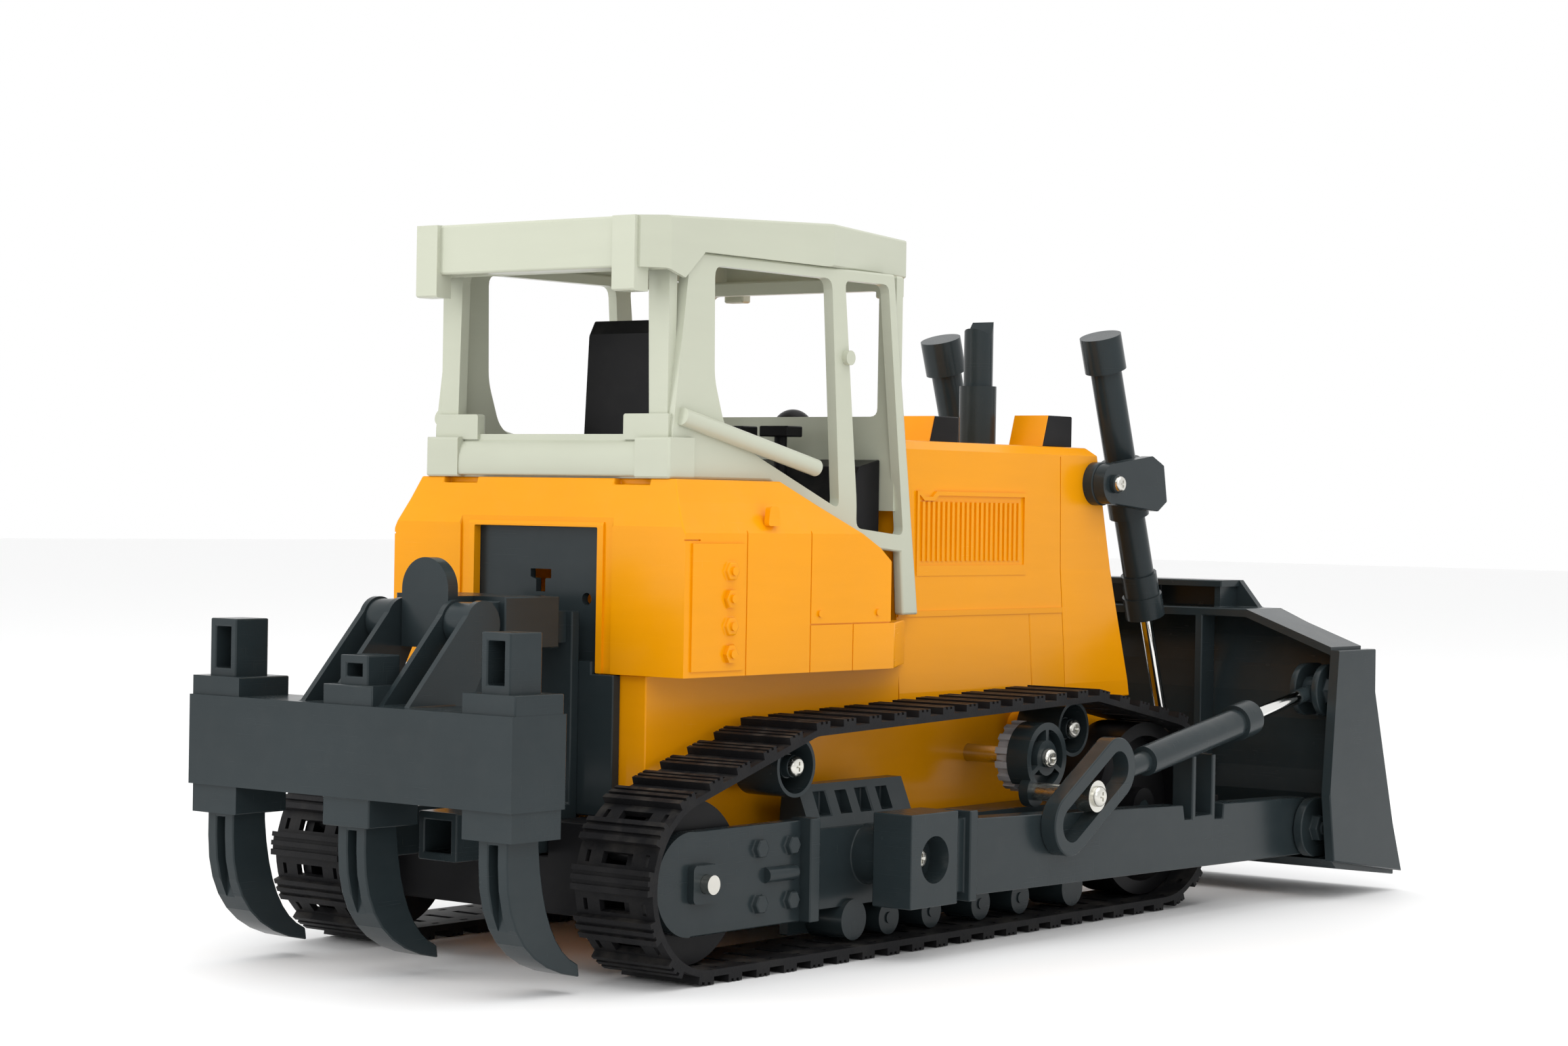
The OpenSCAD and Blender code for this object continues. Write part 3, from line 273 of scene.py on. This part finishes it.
yellow_plastic = finish("yellow_plastic", (0.82, 0.315, 0.001), 0.24,
                        coat=0.04, gloss=0.17, shade=0.025, scuff=0.05)
cream_plastic = finish("cream_plastic", (0.49, 0.51, 0.41), 0.30,
                       coat=0.05, gloss=0.25, shade=0.02, scuff=0.06)
slate_plastic = finish("slate_plastic", (0.020, 0.028, 0.031), 0.24,
                       coat=0.02, gloss=0.18, shade=0.06, scuff=0.08)
black_plastic = finish("black_plastic", (0.009, 0.009, 0.010), 0.33, gloss=0.1, shade=0.08)
belt_rubber = finish("belt_rubber", (0.010, 0.010, 0.011), 0.52, gloss=0.12,
                     shade=0.12, scuff=0.12, dust=0.12, grain_size=0.0009, grain_depth=0.18)
gear_plastic = finish("gear_plastic", (0.33, 0.34, 0.36), 0.38, shade=0.03)
screw_steel = finish("screw_steel", (0.66, 0.65, 0.60), 0.24,
                     metallic=1.0, gloss=0.5, shade=0.06, scuff=0.15, dust=0)
chrome_plate = finish("chrome_plate", (0.78, 0.78, 0.76), 0.08,
                      metallic=1.0, gloss=0.5, shade=0.02, scuff=0.05, dust=0)
cell_wrap = finish("cell_wrap", (0.03, 0.09, 0.30), 0.3)
board_mask = finish("board_mask", (0.01, 0.12, 0.03), 0.3)
clear_lens = finish("clear_lens", (0.85, 0.87, 0.88), 0.08, gloss=0.5, shade=0.02, scuff=0.05, dust=0)
clear_lens.node_tree.nodes["Principled BSDF"].inputs["Transmission Weight"].default_value = 0.7


# --- Rounded mouldings ------------------------------------------------------------------------
# Every casing, frame and arm is injection moulded, so no corner on it is truly sharp. Each one is
# a copy of its CAD piece with its flat facets joined and its long edges rounded.
FACET_ANGLE = math.radians(0.6)  # facets that turn less than this are one flat face
EDGE_ANGLE = math.radians(28)  # edges that turn more than this are rounded
SEAM_ANGLE = math.radians(6)  # faces that turn less than this are shaded as one
BEVEL_ANGLE = math.radians(50)  # a bevel's narrow faces turn less than this
WELD = 2e-6
TRIES = 5


def crease_flats(piece):
    """Keeps wide flat faces flat beside the narrow faces that round their edges."""
    if "custom_normal" in piece.data.attributes:
        piece.data.attributes.remove(piece.data.attributes["custom_normal"])
    mesh = bmesh.new()
    mesh.from_mesh(piece.data)
    for face in mesh.faces:
        face.smooth = len(face.verts) <= 4
    for edge in mesh.edges:
        if len(edge.link_faces) == 2:
            angle = edge.calc_face_angle(0)
            small, large = sorted(face.calc_area() for face in edge.link_faces)
            alike = large < 6 * small
            edge.smooth = angle < SEAM_ANGLE or (angle < BEVEL_ANGLE and alike)
    mesh.to_mesh(piece.data)
    mesh.free()


def near_edge(point, edge, reach):
    """Says whether a point is within reach of an edge."""
    a, b = (vert.co for vert in edge.verts)
    spot, share = intersect_point_line(point, a, b)
    return (point - (a if share < 0 else b if share > 1 else spot)).length < reach


def has_room(edge, width):
    """Says whether an edge can be rounded with no other edge of its two faces in the way."""
    reach = 2.4 * width
    for other in {other for face in edge.link_faces for other in face.edges}:
        if set(other.verts) & set(edge.verts):
            continue
        if any(near_edge(vert.co, edge, reach) for vert in other.verts):
            return False
        if any(near_edge(vert.co, other, reach) for vert in edge.verts):
            return False
    return True


def folded_spots(data, surface, width):
    """Corners of the triangles that a rounded edge folded over or pulled off the moulding."""
    speck = 1e-10
    spots = []
    data.calc_loop_triangles()
    for triangle in data.loop_triangles:
        centre = Vector(triangle.center)
        normal = Vector(triangle.normal)
        _, ground, _, gap = surface.find_nearest(centre)
        flipped = normal.dot(data.polygons[triangle.polygon_index].normal) < 0.5
        against = normal.dot(ground) < -0.1
        if triangle.area > speck and (flipped or against or gap > 1.2 * width):
            spots += [centre] + [data.vertices[index].co.copy() for index in triangle.vertices]
    return spots


def rounded(node, material, radius=0.35):
    """Stands a copy with rounded edges in for a CAD node. The radius is in millimetres."""
    mesh = bmesh.new()
    mesh.from_mesh(frame["nodes"][node].data)
    surface = BVHTree.FromBMesh(mesh)
    bmesh.ops.remove_doubles(mesh, verts=mesh.verts, dist=WELD)
    bmesh.ops.dissolve_limit(mesh, angle_limit=FACET_ANGLE, verts=mesh.verts, edges=mesh.edges)
    width = radius * MM
    too_near = 3 * width
    weight = mesh.edges.layers.float.new("bevel_weight_edge")
    for edge in mesh.edges:
        if len(edge.link_faces) == 2 and edge.calc_face_angle(0) > EDGE_ANGLE:
            edge[weight] = float(edge.calc_length() > too_near and has_room(edge, width))
    for attempt in range(TRIES):
        made = bpy.data.objects.new(node + "_moulding", bpy.data.meshes.new(node + "_moulding"))
        bpy.context.scene.collection.objects.link(made)
        mesh.to_mesh(made.data)
        bevel = made.modifiers.new("round_edges", "BEVEL")
        bevel.limit_method = "WEIGHT"
        bevel.width = width
        bevel.segments = 2
        bevel.use_clamp_overlap = False
        depsgraph = bpy.context.evaluated_depsgraph_get()
        made.data = bpy.data.meshes.new_from_object(made.evaluated_get(depsgraph), depsgraph=depsgraph)
        made.modifiers.clear()
        spots = folded_spots(made.data, surface, width)
        if not spots or attempt == TRIES - 1:
            break
        for edge in mesh.edges:
            if edge[weight] > 0 and any(near_edge(spot, edge, too_near) for spot in spots):
                edge[weight] = 0.0
        bpy.data.objects.remove(made)
    mesh.free()
    made.data.materials.clear()
    made.data.materials.append(material)
    crease_flats(made)
    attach(made, frame["nodes"][node]["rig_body"])
    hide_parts(node)
    return made


for side in ("right", "left"):
    for part in ("track_frame", "side_cover", "push_arm", "tilt_strut", "lift_barrel"):
        rounded(f"{part}_{side}", slate_plastic)
for part in ("belly_cover", "rear_panel", "ripper_bracket", "blade", "ripper_beam", "ripper_shanks",
             "crank_wheels"):
    rounded(part, slate_plastic)
for part in ("lower_hull", "rear_housing", "hood"):
    rounded(part, yellow_plastic)
for part in ("cab_frame", "cab_roof"):
    rounded(part, cream_plastic, 0.6)
for part in ("console", "operator_seat", "control_levers", "headlight_frames", "final_drive_case"):
    rounded(part, black_plastic)


# --- Rubber belts -----------------------------------------------------------------------------
# Each belt is one moulded band of black rubber. Thick cleats with three ribs cross it, and between
# them the thin band has a drive slot and two small slots, where the sprocket's bars show through.
def terraced_link(length, columns, rows):
    """A block in steps: columns run along it, rows across it, and each cell has its own height."""
    mesh = bmesh.new()
    spots = {}

    def corner(x, y, z):
        key = (round(x, 7), round(y, 7), round(z, 7))
        if key not in spots:
            spots[key] = mesh.verts.new(key)
        return spots[key]

    def wall(a, b, low, high):
        mesh.faces.new((corner(*a, low), corner(*b, low), corner(*b, high), corner(*a, high)))

    xs, heights = columns
    for i, j in [(i, j) for i in range(len(xs) - 1) for j in range(len(rows) - 1)]:
        x0, x1, y0, y1 = xs[i], xs[i + 1], rows[j], rows[j + 1]
        here = heights[i][j]
        if here > 0:
            ring = ((x0, y0), (x1, y0), (x1, y1), (x0, y1))
            mesh.faces.new([corner(x, y, here) for x, y in ring])
            mesh.faces.new([corner(x, y, 0) for x, y in (ring[3], ring[2], ring[1], ring[0])])
        ahead = heights[(i + 1) % len(heights)][j]
        if ahead < here:
            wall((x1, y0), (x1, y1), ahead, here)
        elif ahead > here:
            wall((x1, y1), (x1, y0), here, ahead)
        beside = heights[i][j + 1] if j + 2 < len(rows) else 0
        if beside < here:
            wall((x1, y1), (x0, y1), beside, here)
        elif beside > here:
            wall((x0, y1), (x1, y1), here, beside)
        if j == 0 and here > 0:
            wall((x0, y0), (x1, y0), 0, here)
    return mesh


belt_low, belt_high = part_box("track_belt_left")
BELT_WIDTH = belt_high.y - belt_low.y
BELT_LINKS = 52
CLEAT = 3.6 * MM
VALLEY = CLEAT - 0.7 * MM
BAND = 1.7 * MM


def loop_line(wheels, steps=24):
    """Points of the belt's inner line: arcs round the wheels, which straight runs join."""
    line = []
    for here, ahead, behind in zip(wheels, wheels[1:] + wheels[:1], wheels[-1:] + wheels[:-1]):
        angles = []
        for a, b in ((behind, here), (here, ahead)):
            gap = Vector((b[0] - a[0], b[1] - a[1]))
            angles.append(math.atan2(gap.y, gap.x) - math.acos((a[2] - b[2]) / gap.length))
        start, end = angles
        end += 2 * math.pi * math.ceil((start - end) / (2 * math.pi))
        for i in range(steps + 1):
            angle = start + (end - start) * i / steps
            line.append((here[0] + here[2] * math.cos(angle), here[1] + here[2] * math.sin(angle)))
    return line


def wheel(node, radius):
    """Centre of a wheel in the side view, and the radius that the belt bends to round it."""
    low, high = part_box(node)
    return ((low.x + high.x) / 2, (low.z + high.z) / 2, radius * MM)


BELT_WHEELS = [wheel("idler_left", 25.9), wheel("front_carrier_left", 8.3),
               wheel("rear_carrier_left", 8.3), wheel("sprocket_left", 20.9)]


def belt_tree(material):
    """Geometry nodes that repeat one link and bend the row of links round a closed line."""
    tree = bpy.data.node_groups.new("belt_links", "GeometryNodeTree")
    for name, kind in (("Line", "NodeSocketGeometry"), ("Link", "NodeSocketObject"),
                       ("Links", "NodeSocketInt"), ("Middle", "NodeSocketFloat")):
        tree.interface.new_socket(name=name, in_out="INPUT", socket_type=kind)
    tree.interface.new_socket(name="Belt", in_out="OUTPUT", socket_type="NodeSocketGeometry")
    given = add(tree, "NodeGroupInput").outputs
    curve = add(tree, "GeometryNodeMeshToCurve", {"Mesh": given["Line"]}).outputs["Curve"]
    length = add(tree, "GeometryNodeCurveLength", {"Curve": curve}).outputs["Length"]
    pitch = add(tree, "ShaderNodeMath", {0: length, 1: given["Links"]}, operation="DIVIDE").outputs[0]
    step = add(tree, "ShaderNodeCombineXYZ", {"X": pitch}).outputs["Vector"]
    row = add(tree, "GeometryNodeMeshLine", {"Count": given["Links"], "Offset": step}).outputs["Mesh"]
    link = add(tree, "GeometryNodeObjectInfo", {"Object": given["Link"]}).outputs["Geometry"]
    size = add(tree, "ShaderNodeCombineXYZ", {"X": pitch, "Y": 1.0, "Z": 1.0}).outputs["Vector"]
    copies = add(tree, "GeometryNodeInstanceOnPoints", {"Points": row, "Instance": link, "Scale": size})
    flat = add(tree, "GeometryNodeRealizeInstances", {"Geometry": copies.outputs["Instances"]})
    position = add(tree, "GeometryNodeInputPosition").outputs[0]
    spot = add(tree, "ShaderNodeSeparateXYZ", {"Vector": position})
    share = add(tree, "ShaderNodeMath", {0: spot.outputs["X"], 1: length}, operation="DIVIDE").outputs[0]
    around = add(tree, "ShaderNodeMath", {0: share}, operation="FRACT").outputs[0]
    sample = add(tree, "GeometryNodeSampleCurve", {"Curves": curve, "Factor": around}, mode="FACTOR")
    across = add(tree, "ShaderNodeVectorMath", {0: (0, 1, 0), 1: sample.outputs["Tangent"]},
                 operation="CROSS_PRODUCT").outputs[0]
    outward = add(tree, "ShaderNodeVectorMath", {0: across, "Scale": spot.outputs["Z"]}, operation="SCALE")
    side = add(tree, "ShaderNodeMath", {0: given["Middle"], 1: spot.outputs["Y"]},
               operation="SUBTRACT").outputs[0]
    shift = add(tree, "ShaderNodeCombineXYZ", {"Y": side}).outputs["Vector"]
    base = add(tree, "ShaderNodeVectorMath",
               {0: sample.outputs["Position"], 1: outward.outputs[0]}).outputs[0]
    place = add(tree, "ShaderNodeVectorMath", {0: base, 1: shift}).outputs[0]
    bent = add(tree, "GeometryNodeSetPosition", {"Geometry": flat.outputs["Geometry"], "Position": place})
    joined = add(tree, "GeometryNodeMergeByDistance",
                 {"Geometry": bent.outputs["Geometry"], "Distance": 0.02 * MM})
    painted = add(tree, "GeometryNodeSetMaterial",
                  {"Geometry": joined.outputs["Geometry"], "Material": material})
    add(tree, "NodeGroupOutput", {"Belt": painted.outputs["Geometry"]})
    return tree


def grown(name, start, tree, inputs):
    """Runs a geometry node tree on a mesh and keeps the result as a plain mesh."""
    made = mesh_object(name, start)
    nodes = made.modifiers.new("nodes", "NODES")
    nodes.node_group = tree
    for item in tree.interface.items_tree:
        if item.in_out == "INPUT" and item.name in inputs:
            nodes[item.identifier] = inputs[item.name]
    made.data.update()
    depsgraph = bpy.context.evaluated_depsgraph_get()
    made.data = bpy.data.meshes.new_from_object(made.evaluated_get(depsgraph))
    made.modifiers.clear()
    made.data.set_sharp_from_angle(angle=math.radians(30))
    return made


belt_rows = [share * BELT_WIDTH / 2 for share in (-1, -0.80, -0.70, -0.38, 0.38, 0.70, 0.80, 1)]
slotted = [BAND, 0, BAND, 0, BAND, 0, BAND]
plain = [BAND] * len(slotted)
rib = [CLEAT] * len(slotted)
valley = [VALLEY] * len(slotted)
link_columns = [0, 0.08, 0.33, 0.42, 0.52, 0.60, 0.70, 0.78, 0.90, 1.0]
link_heights = [plain, slotted, plain, rib, valley, rib, valley, rib, plain]
belt_link = mesh_object("belt_link", terraced_link(1.0, (link_columns, link_heights), belt_rows))
links_tree = belt_tree(belt_rubber)
loop_points = loop_line(BELT_WHEELS)
for side, sign in (("left", 1), ("right", -1)):
    line_mesh = bmesh.new()
    ring = [line_mesh.verts.new((x, 0, z)) for x, z in loop_points]
    for a, b in zip(ring, ring[1:] + ring[:1]):
        line_mesh.edges.new((a, b))
    middle = sign * (belt_low.y + belt_high.y) / 2
    belt = grown(f"rubber_belt_{side}", line_mesh, links_tree,
                 {"Link": belt_link, "Links": BELT_LINKS, "Middle": middle})
    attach(belt, "chassis")
    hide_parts(f"track_belt_{side}")
bpy.data.objects.remove(belt_link)


# --- Plain turned and boxed parts -------------------------------------------------------------
# Wheels, axles, rods, gears and the parts inside the hull keep their exact CAD shape, each in the
# plastic or the metal that it is made of.
def paint(material, *nodes):
    """Gives CAD nodes a finish."""
    for node in nodes:
        data = frame["nodes"][node].data
        data.materials.clear()
        data.materials.append(material)


for side in ("right", "left"):
    paint(black_plastic, f"sprocket_{side}", f"idler_{side}")
    paint(slate_plastic, f"rear_carrier_{side}", f"front_carrier_{side}",
          *[f"roller_{side}_{number}" for number in range(1, 5)])
    paint(screw_steel, f"drive_axle_{side}")
    paint(chrome_plate, f"lift_rod_{side}")
paint(chrome_plate, "strut_rods")
paint(screw_steel, "crank_shaft", "drive_motors")
paint(gear_plastic, "crank_gears")
paint(black_plastic, "gearbox_cases", "precleaner")
paint(slate_plastic, "exhaust_stack")
paint(cell_wrap, "battery_pack")
paint(board_mask, "circuit_board")
paint(clear_lens, "headlight_lenses")


# --- Screws -----------------------------------------------------------------------------------
# Plated pan-head screws with a cross recess hold the wheels, cranks and lift cylinders. Each is
# driven into the end of a pin or a boss, and its head stands out by its own height.
def pan_head(sides=28, top=0.60, recess_floor=0.259):
    """Head of a screw with a radius of 1, its seat on z = 0 and a cross recess in its top."""
    mesh = bmesh.new()
    loops = []
    for radius, height in ((1, -0.1), (1, 0.18), (0.96, 0.34), (0.86, 0.48), (0.70, 0.58), (0.60, top)):
        loops.append([mesh.verts.new((radius * math.cos(2 * math.pi * i / sides),
                                      radius * math.sin(2 * math.pi * i / sides), height))
                      for i in range(sides)])
    for low, high in zip(loops, loops[1:]):
        for i in range(sides):
            ahead = (i + 1) % sides
            mesh.faces.new((low[i], low[ahead], high[ahead], high[i]))
    mesh.faces.new(loops[0][::-1])
    arm, half = 0.46, 0.11
    outline = []
    for quarter in range(4):
        c, t = math.cos(quarter * math.pi / 2), math.sin(quarter * math.pi / 2)
        outline += [(c * x - t * y, t * x + c * y) for x, y in ((half, -half), (arm, -half), (arm, half))]
    cross = [mesh.verts.new((x, y, top)) for x, y in outline]
    rim = [mesh.edges.get((a, b)) for a, b in zip(loops[-1], loops[-1][1:] + loops[-1][:1])]
    slot = [mesh.edges.new((a, b)) for a, b in zip(cross, cross[1:] + cross[:1])]
    bmesh.ops.triangle_fill(mesh, edges=rim + slot, use_beauty=True, normal=(0, 0, 1))
    taper = 0.45
    floor_ring = [mesh.verts.new((x * taper, y * taper, recess_floor)) for x, y in outline]
    for i, vert in enumerate(cross):
        ahead = (i + 1) % len(cross)
        mesh.faces.new((vert, floor_ring[i], floor_ring[ahead], cross[ahead]))
    mesh.faces.new(floor_ring)
    bmesh.ops.recalc_face_normals(mesh, faces=mesh.faces)
    return mesh


def screw_tree(material):
    """Geometry nodes that stand a head on each point, along the point's own direction."""
    tree = bpy.data.node_groups.new("screw_heads", "GeometryNodeTree")
    tree.interface.new_socket(name="Seats", in_out="INPUT", socket_type="NodeSocketGeometry")
    tree.interface.new_socket(name="Head", in_out="INPUT", socket_type="NodeSocketObject")
    tree.interface.new_socket(name="Screws", in_out="OUTPUT", socket_type="NodeSocketGeometry")
    given = add(tree, "NodeGroupInput").outputs
    way = add(tree, "GeometryNodeInputNamedAttribute", {"Name": "facing"},
              data_type="FLOAT_VECTOR").outputs[0]
    reach = add(tree, "GeometryNodeInputNamedAttribute", {"Name": "reach"}, data_type="FLOAT").outputs[0]
    aim = add(tree, "FunctionNodeAlignRotationToVector", {"Vector": way}, axis="Z").outputs["Rotation"]
    head = add(tree, "GeometryNodeObjectInfo", {"Object": given["Head"]}).outputs["Geometry"]
    copies = add(tree, "GeometryNodeInstanceOnPoints", {"Points": given["Seats"], "Instance": head,
                                                        "Rotation": aim, "Scale": reach})
    flat = add(tree, "GeometryNodeRealizeInstances", {"Geometry": copies.outputs["Instances"]})
    painted = add(tree, "GeometryNodeSetMaterial",
                  {"Geometry": flat.outputs["Geometry"], "Material": material})
    add(tree, "NodeGroupOutput", {"Screws": painted.outputs["Geometry"]})
    return tree


def screws(name, body, seats, tree, head):
    """Screws on one body. A seat is a place, a direction and a head radius, in millimetres."""
    start = bmesh.new()
    facing = start.verts.layers.float_vector.new("facing")
    reach = start.verts.layers.float.new("reach")
    for place, direction, radius in seats:
        vert = start.verts.new(Vector(place) * MM)
        vert[facing] = Vector(direction)
        vert[reach] = radius * MM
    made = grown(name, start, tree, {"Head": head})
    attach(made, body)
    return made


def outer_end(node, sign):
    """Middle of a node's outermost face on one side of the machine, in millimetres."""
    points = [vert.co for vert in frame["nodes"][node].data.vertices]
    far = max(point.y * sign for point in points)
    tip = [point for point in points if point.y * sign > far - 1e-5]
    middle = sum(tip, Vector()) / len(tip)
    return (middle.x / MM, middle.y / MM, middle.z / MM)


def on_side(spot, sign):
    """A spot on the left side of the machine, or its mirror image on the right side."""
    return (spot[0], sign * spot[1], spot[2])


LIFT_PIVOT_END = (93, 43.05, 126)
CRANK_PIN_END = (24.5, 64.5, 48)
TRUNNION_END = (-51.5, 74.2, 26.3)
SMALL_HEAD, MEDIUM_HEAD, LARGE_HEAD = 2.4, 2.7, 2.9
CARRIER_SINK = 0.6
head_shape = mesh_object("pan_head", pan_head())
heads_tree = screw_tree(screw_steel)
carrier_seats, lift_seats, crank_seats, trunnion_seats = [], [], [], []
for side, sign in (("right", -1), ("left", 1)):
    way = (0, sign, 0)
    for node in ("rear_carrier", "front_carrier"):
        low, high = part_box(f"{node}_{side}")
        outer = (high.y if sign > 0 else low.y) / MM
        seat = ((low.x + high.x) / 2 / MM, outer - sign * CARRIER_SINK, (low.z + high.z) / 2 / MM)
        carrier_seats.append((seat, way, MEDIUM_HEAD))
    lift_seats.append((on_side(LIFT_PIVOT_END, sign), way, SMALL_HEAD))
    crank_seats.append((on_side(CRANK_PIN_END, sign), way, MEDIUM_HEAD))
    crank_seats.append((outer_end("crank_shaft", sign), way, LARGE_HEAD))
    trunnion_seats.append((on_side(TRUNNION_END, sign), way, LARGE_HEAD))
screws("carrier_screws", "chassis", carrier_seats, heads_tree, head_shape)
screws("lift_pivot_screws", "chassis", lift_seats, heads_tree, head_shape)
screws("crank_screws", "lift_crank", crank_seats, heads_tree, head_shape)
trunnion = screws("trunnion_heads", "chassis", trunnion_seats, heads_tree, head_shape)
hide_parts("trunnion_screws")
bpy.data.objects.remove(head_shape)


# --- Wheel caps -------------------------------------------------------------------------------
# A slate plastic sleeve slips over the end of each carrier's pin under its screw. The pivot of each
# lift cylinder has a sleeve and a wider ring. They are turned shapes with a small chamfer.
def sleeves(name, body, seats, sides=32, chamfer=0.3):
    """Sleeves that run back from a pin's end. A seat is a place, a side, a radius and a length."""
    mesh = bmesh.new()
    for (x, y, z), sign, radius, length in seats:
        rings = []
        for along, size in ((-length, radius), (-chamfer, radius), (0, radius - chamfer)):
            rings.append([mesh.verts.new(Vector((x + size * math.cos(2 * math.pi * i / sides),
                                                 y + sign * along,
                                                 z + size * math.sin(2 * math.pi * i / sides))) * MM)
                          for i in range(sides)])
        for low, high in zip(rings, rings[1:]):
            for i in range(sides):
                ahead = (i + 1) % sides
                mesh.faces.new((low[i], low[ahead], high[ahead], high[i]))
        mesh.faces.new(rings[-1])
        mesh.faces.new(rings[0][::-1])
    bmesh.ops.recalc_face_normals(mesh, faces=mesh.faces)
    made = mesh_object(name, mesh)
    made.data.materials.append(slate_plastic)
    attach(made, body)


LIFT_BOSS_END = (93, 37.55, 126)
CARRIER_SLEEVE = (2.9, 3.4)
LIFT_SLEEVE = (2.8, 1.55)
LIFT_BOSS_RING = (6.6, 3.4)
sleeves("carrier_sleeves", "chassis", [(seat, way[1], *CARRIER_SLEEVE) for seat, way, _ in carrier_seats])
sleeves("lift_sleeves", "chassis",
        [(on_side(LIFT_PIVOT_END, sign), sign, *LIFT_SLEEVE) for sign in (-1, 1)])
sleeves("lift_boss_rings", "chassis",
        [(on_side(LIFT_BOSS_END, sign), sign, *LIFT_BOSS_RING) for sign in (-1, 1)])


# --- Headlight panels -------------------------------------------------------------------------
# The back of each headlight box is a yellow plate in a black frame. It is a separate moulding,
# pressed on from behind.
PANEL_RIM = 1.3 * MM
PANEL_THICKNESS = 0.35 * MM
panel_mesh = bmesh.new()
panel_mesh.from_mesh(frame["nodes"]["headlight_frames"].data)
bmesh.ops.remove_doubles(panel_mesh, verts=panel_mesh.verts, dist=WELD)
bmesh.ops.dissolve_limit(panel_mesh, angle_limit=FACET_ANGLE, verts=panel_mesh.verts, edges=panel_mesh.edges)
backs = [face for face in panel_mesh.faces if face.normal.x < -0.7]
biggest = sorted(backs, key=lambda face: -face.calc_area())[:2]
rest = [face for face in panel_mesh.faces if face not in biggest]
bmesh.ops.delete(panel_mesh, geom=rest, context="FACES")
rim = bmesh.ops.inset_region(panel_mesh, faces=list(panel_mesh.faces), thickness=PANEL_RIM, depth=0)["faces"]
bmesh.ops.delete(panel_mesh, geom=rim, context="FACES")
raised = bmesh.ops.extrude_face_region(panel_mesh, geom=list(panel_mesh.faces))["geom"]
bmesh.ops.translate(panel_mesh, verts=[item for item in raised if isinstance(item, bmesh.types.BMVert)],
                    vec=(-PANEL_THICKNESS, 0, 0))
bmesh.ops.recalc_face_normals(panel_mesh, faces=panel_mesh.faces)
panels = mesh_object("headlight_panels", panel_mesh)
panels.data.materials.append(yellow_plastic)
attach(panels, "chassis")
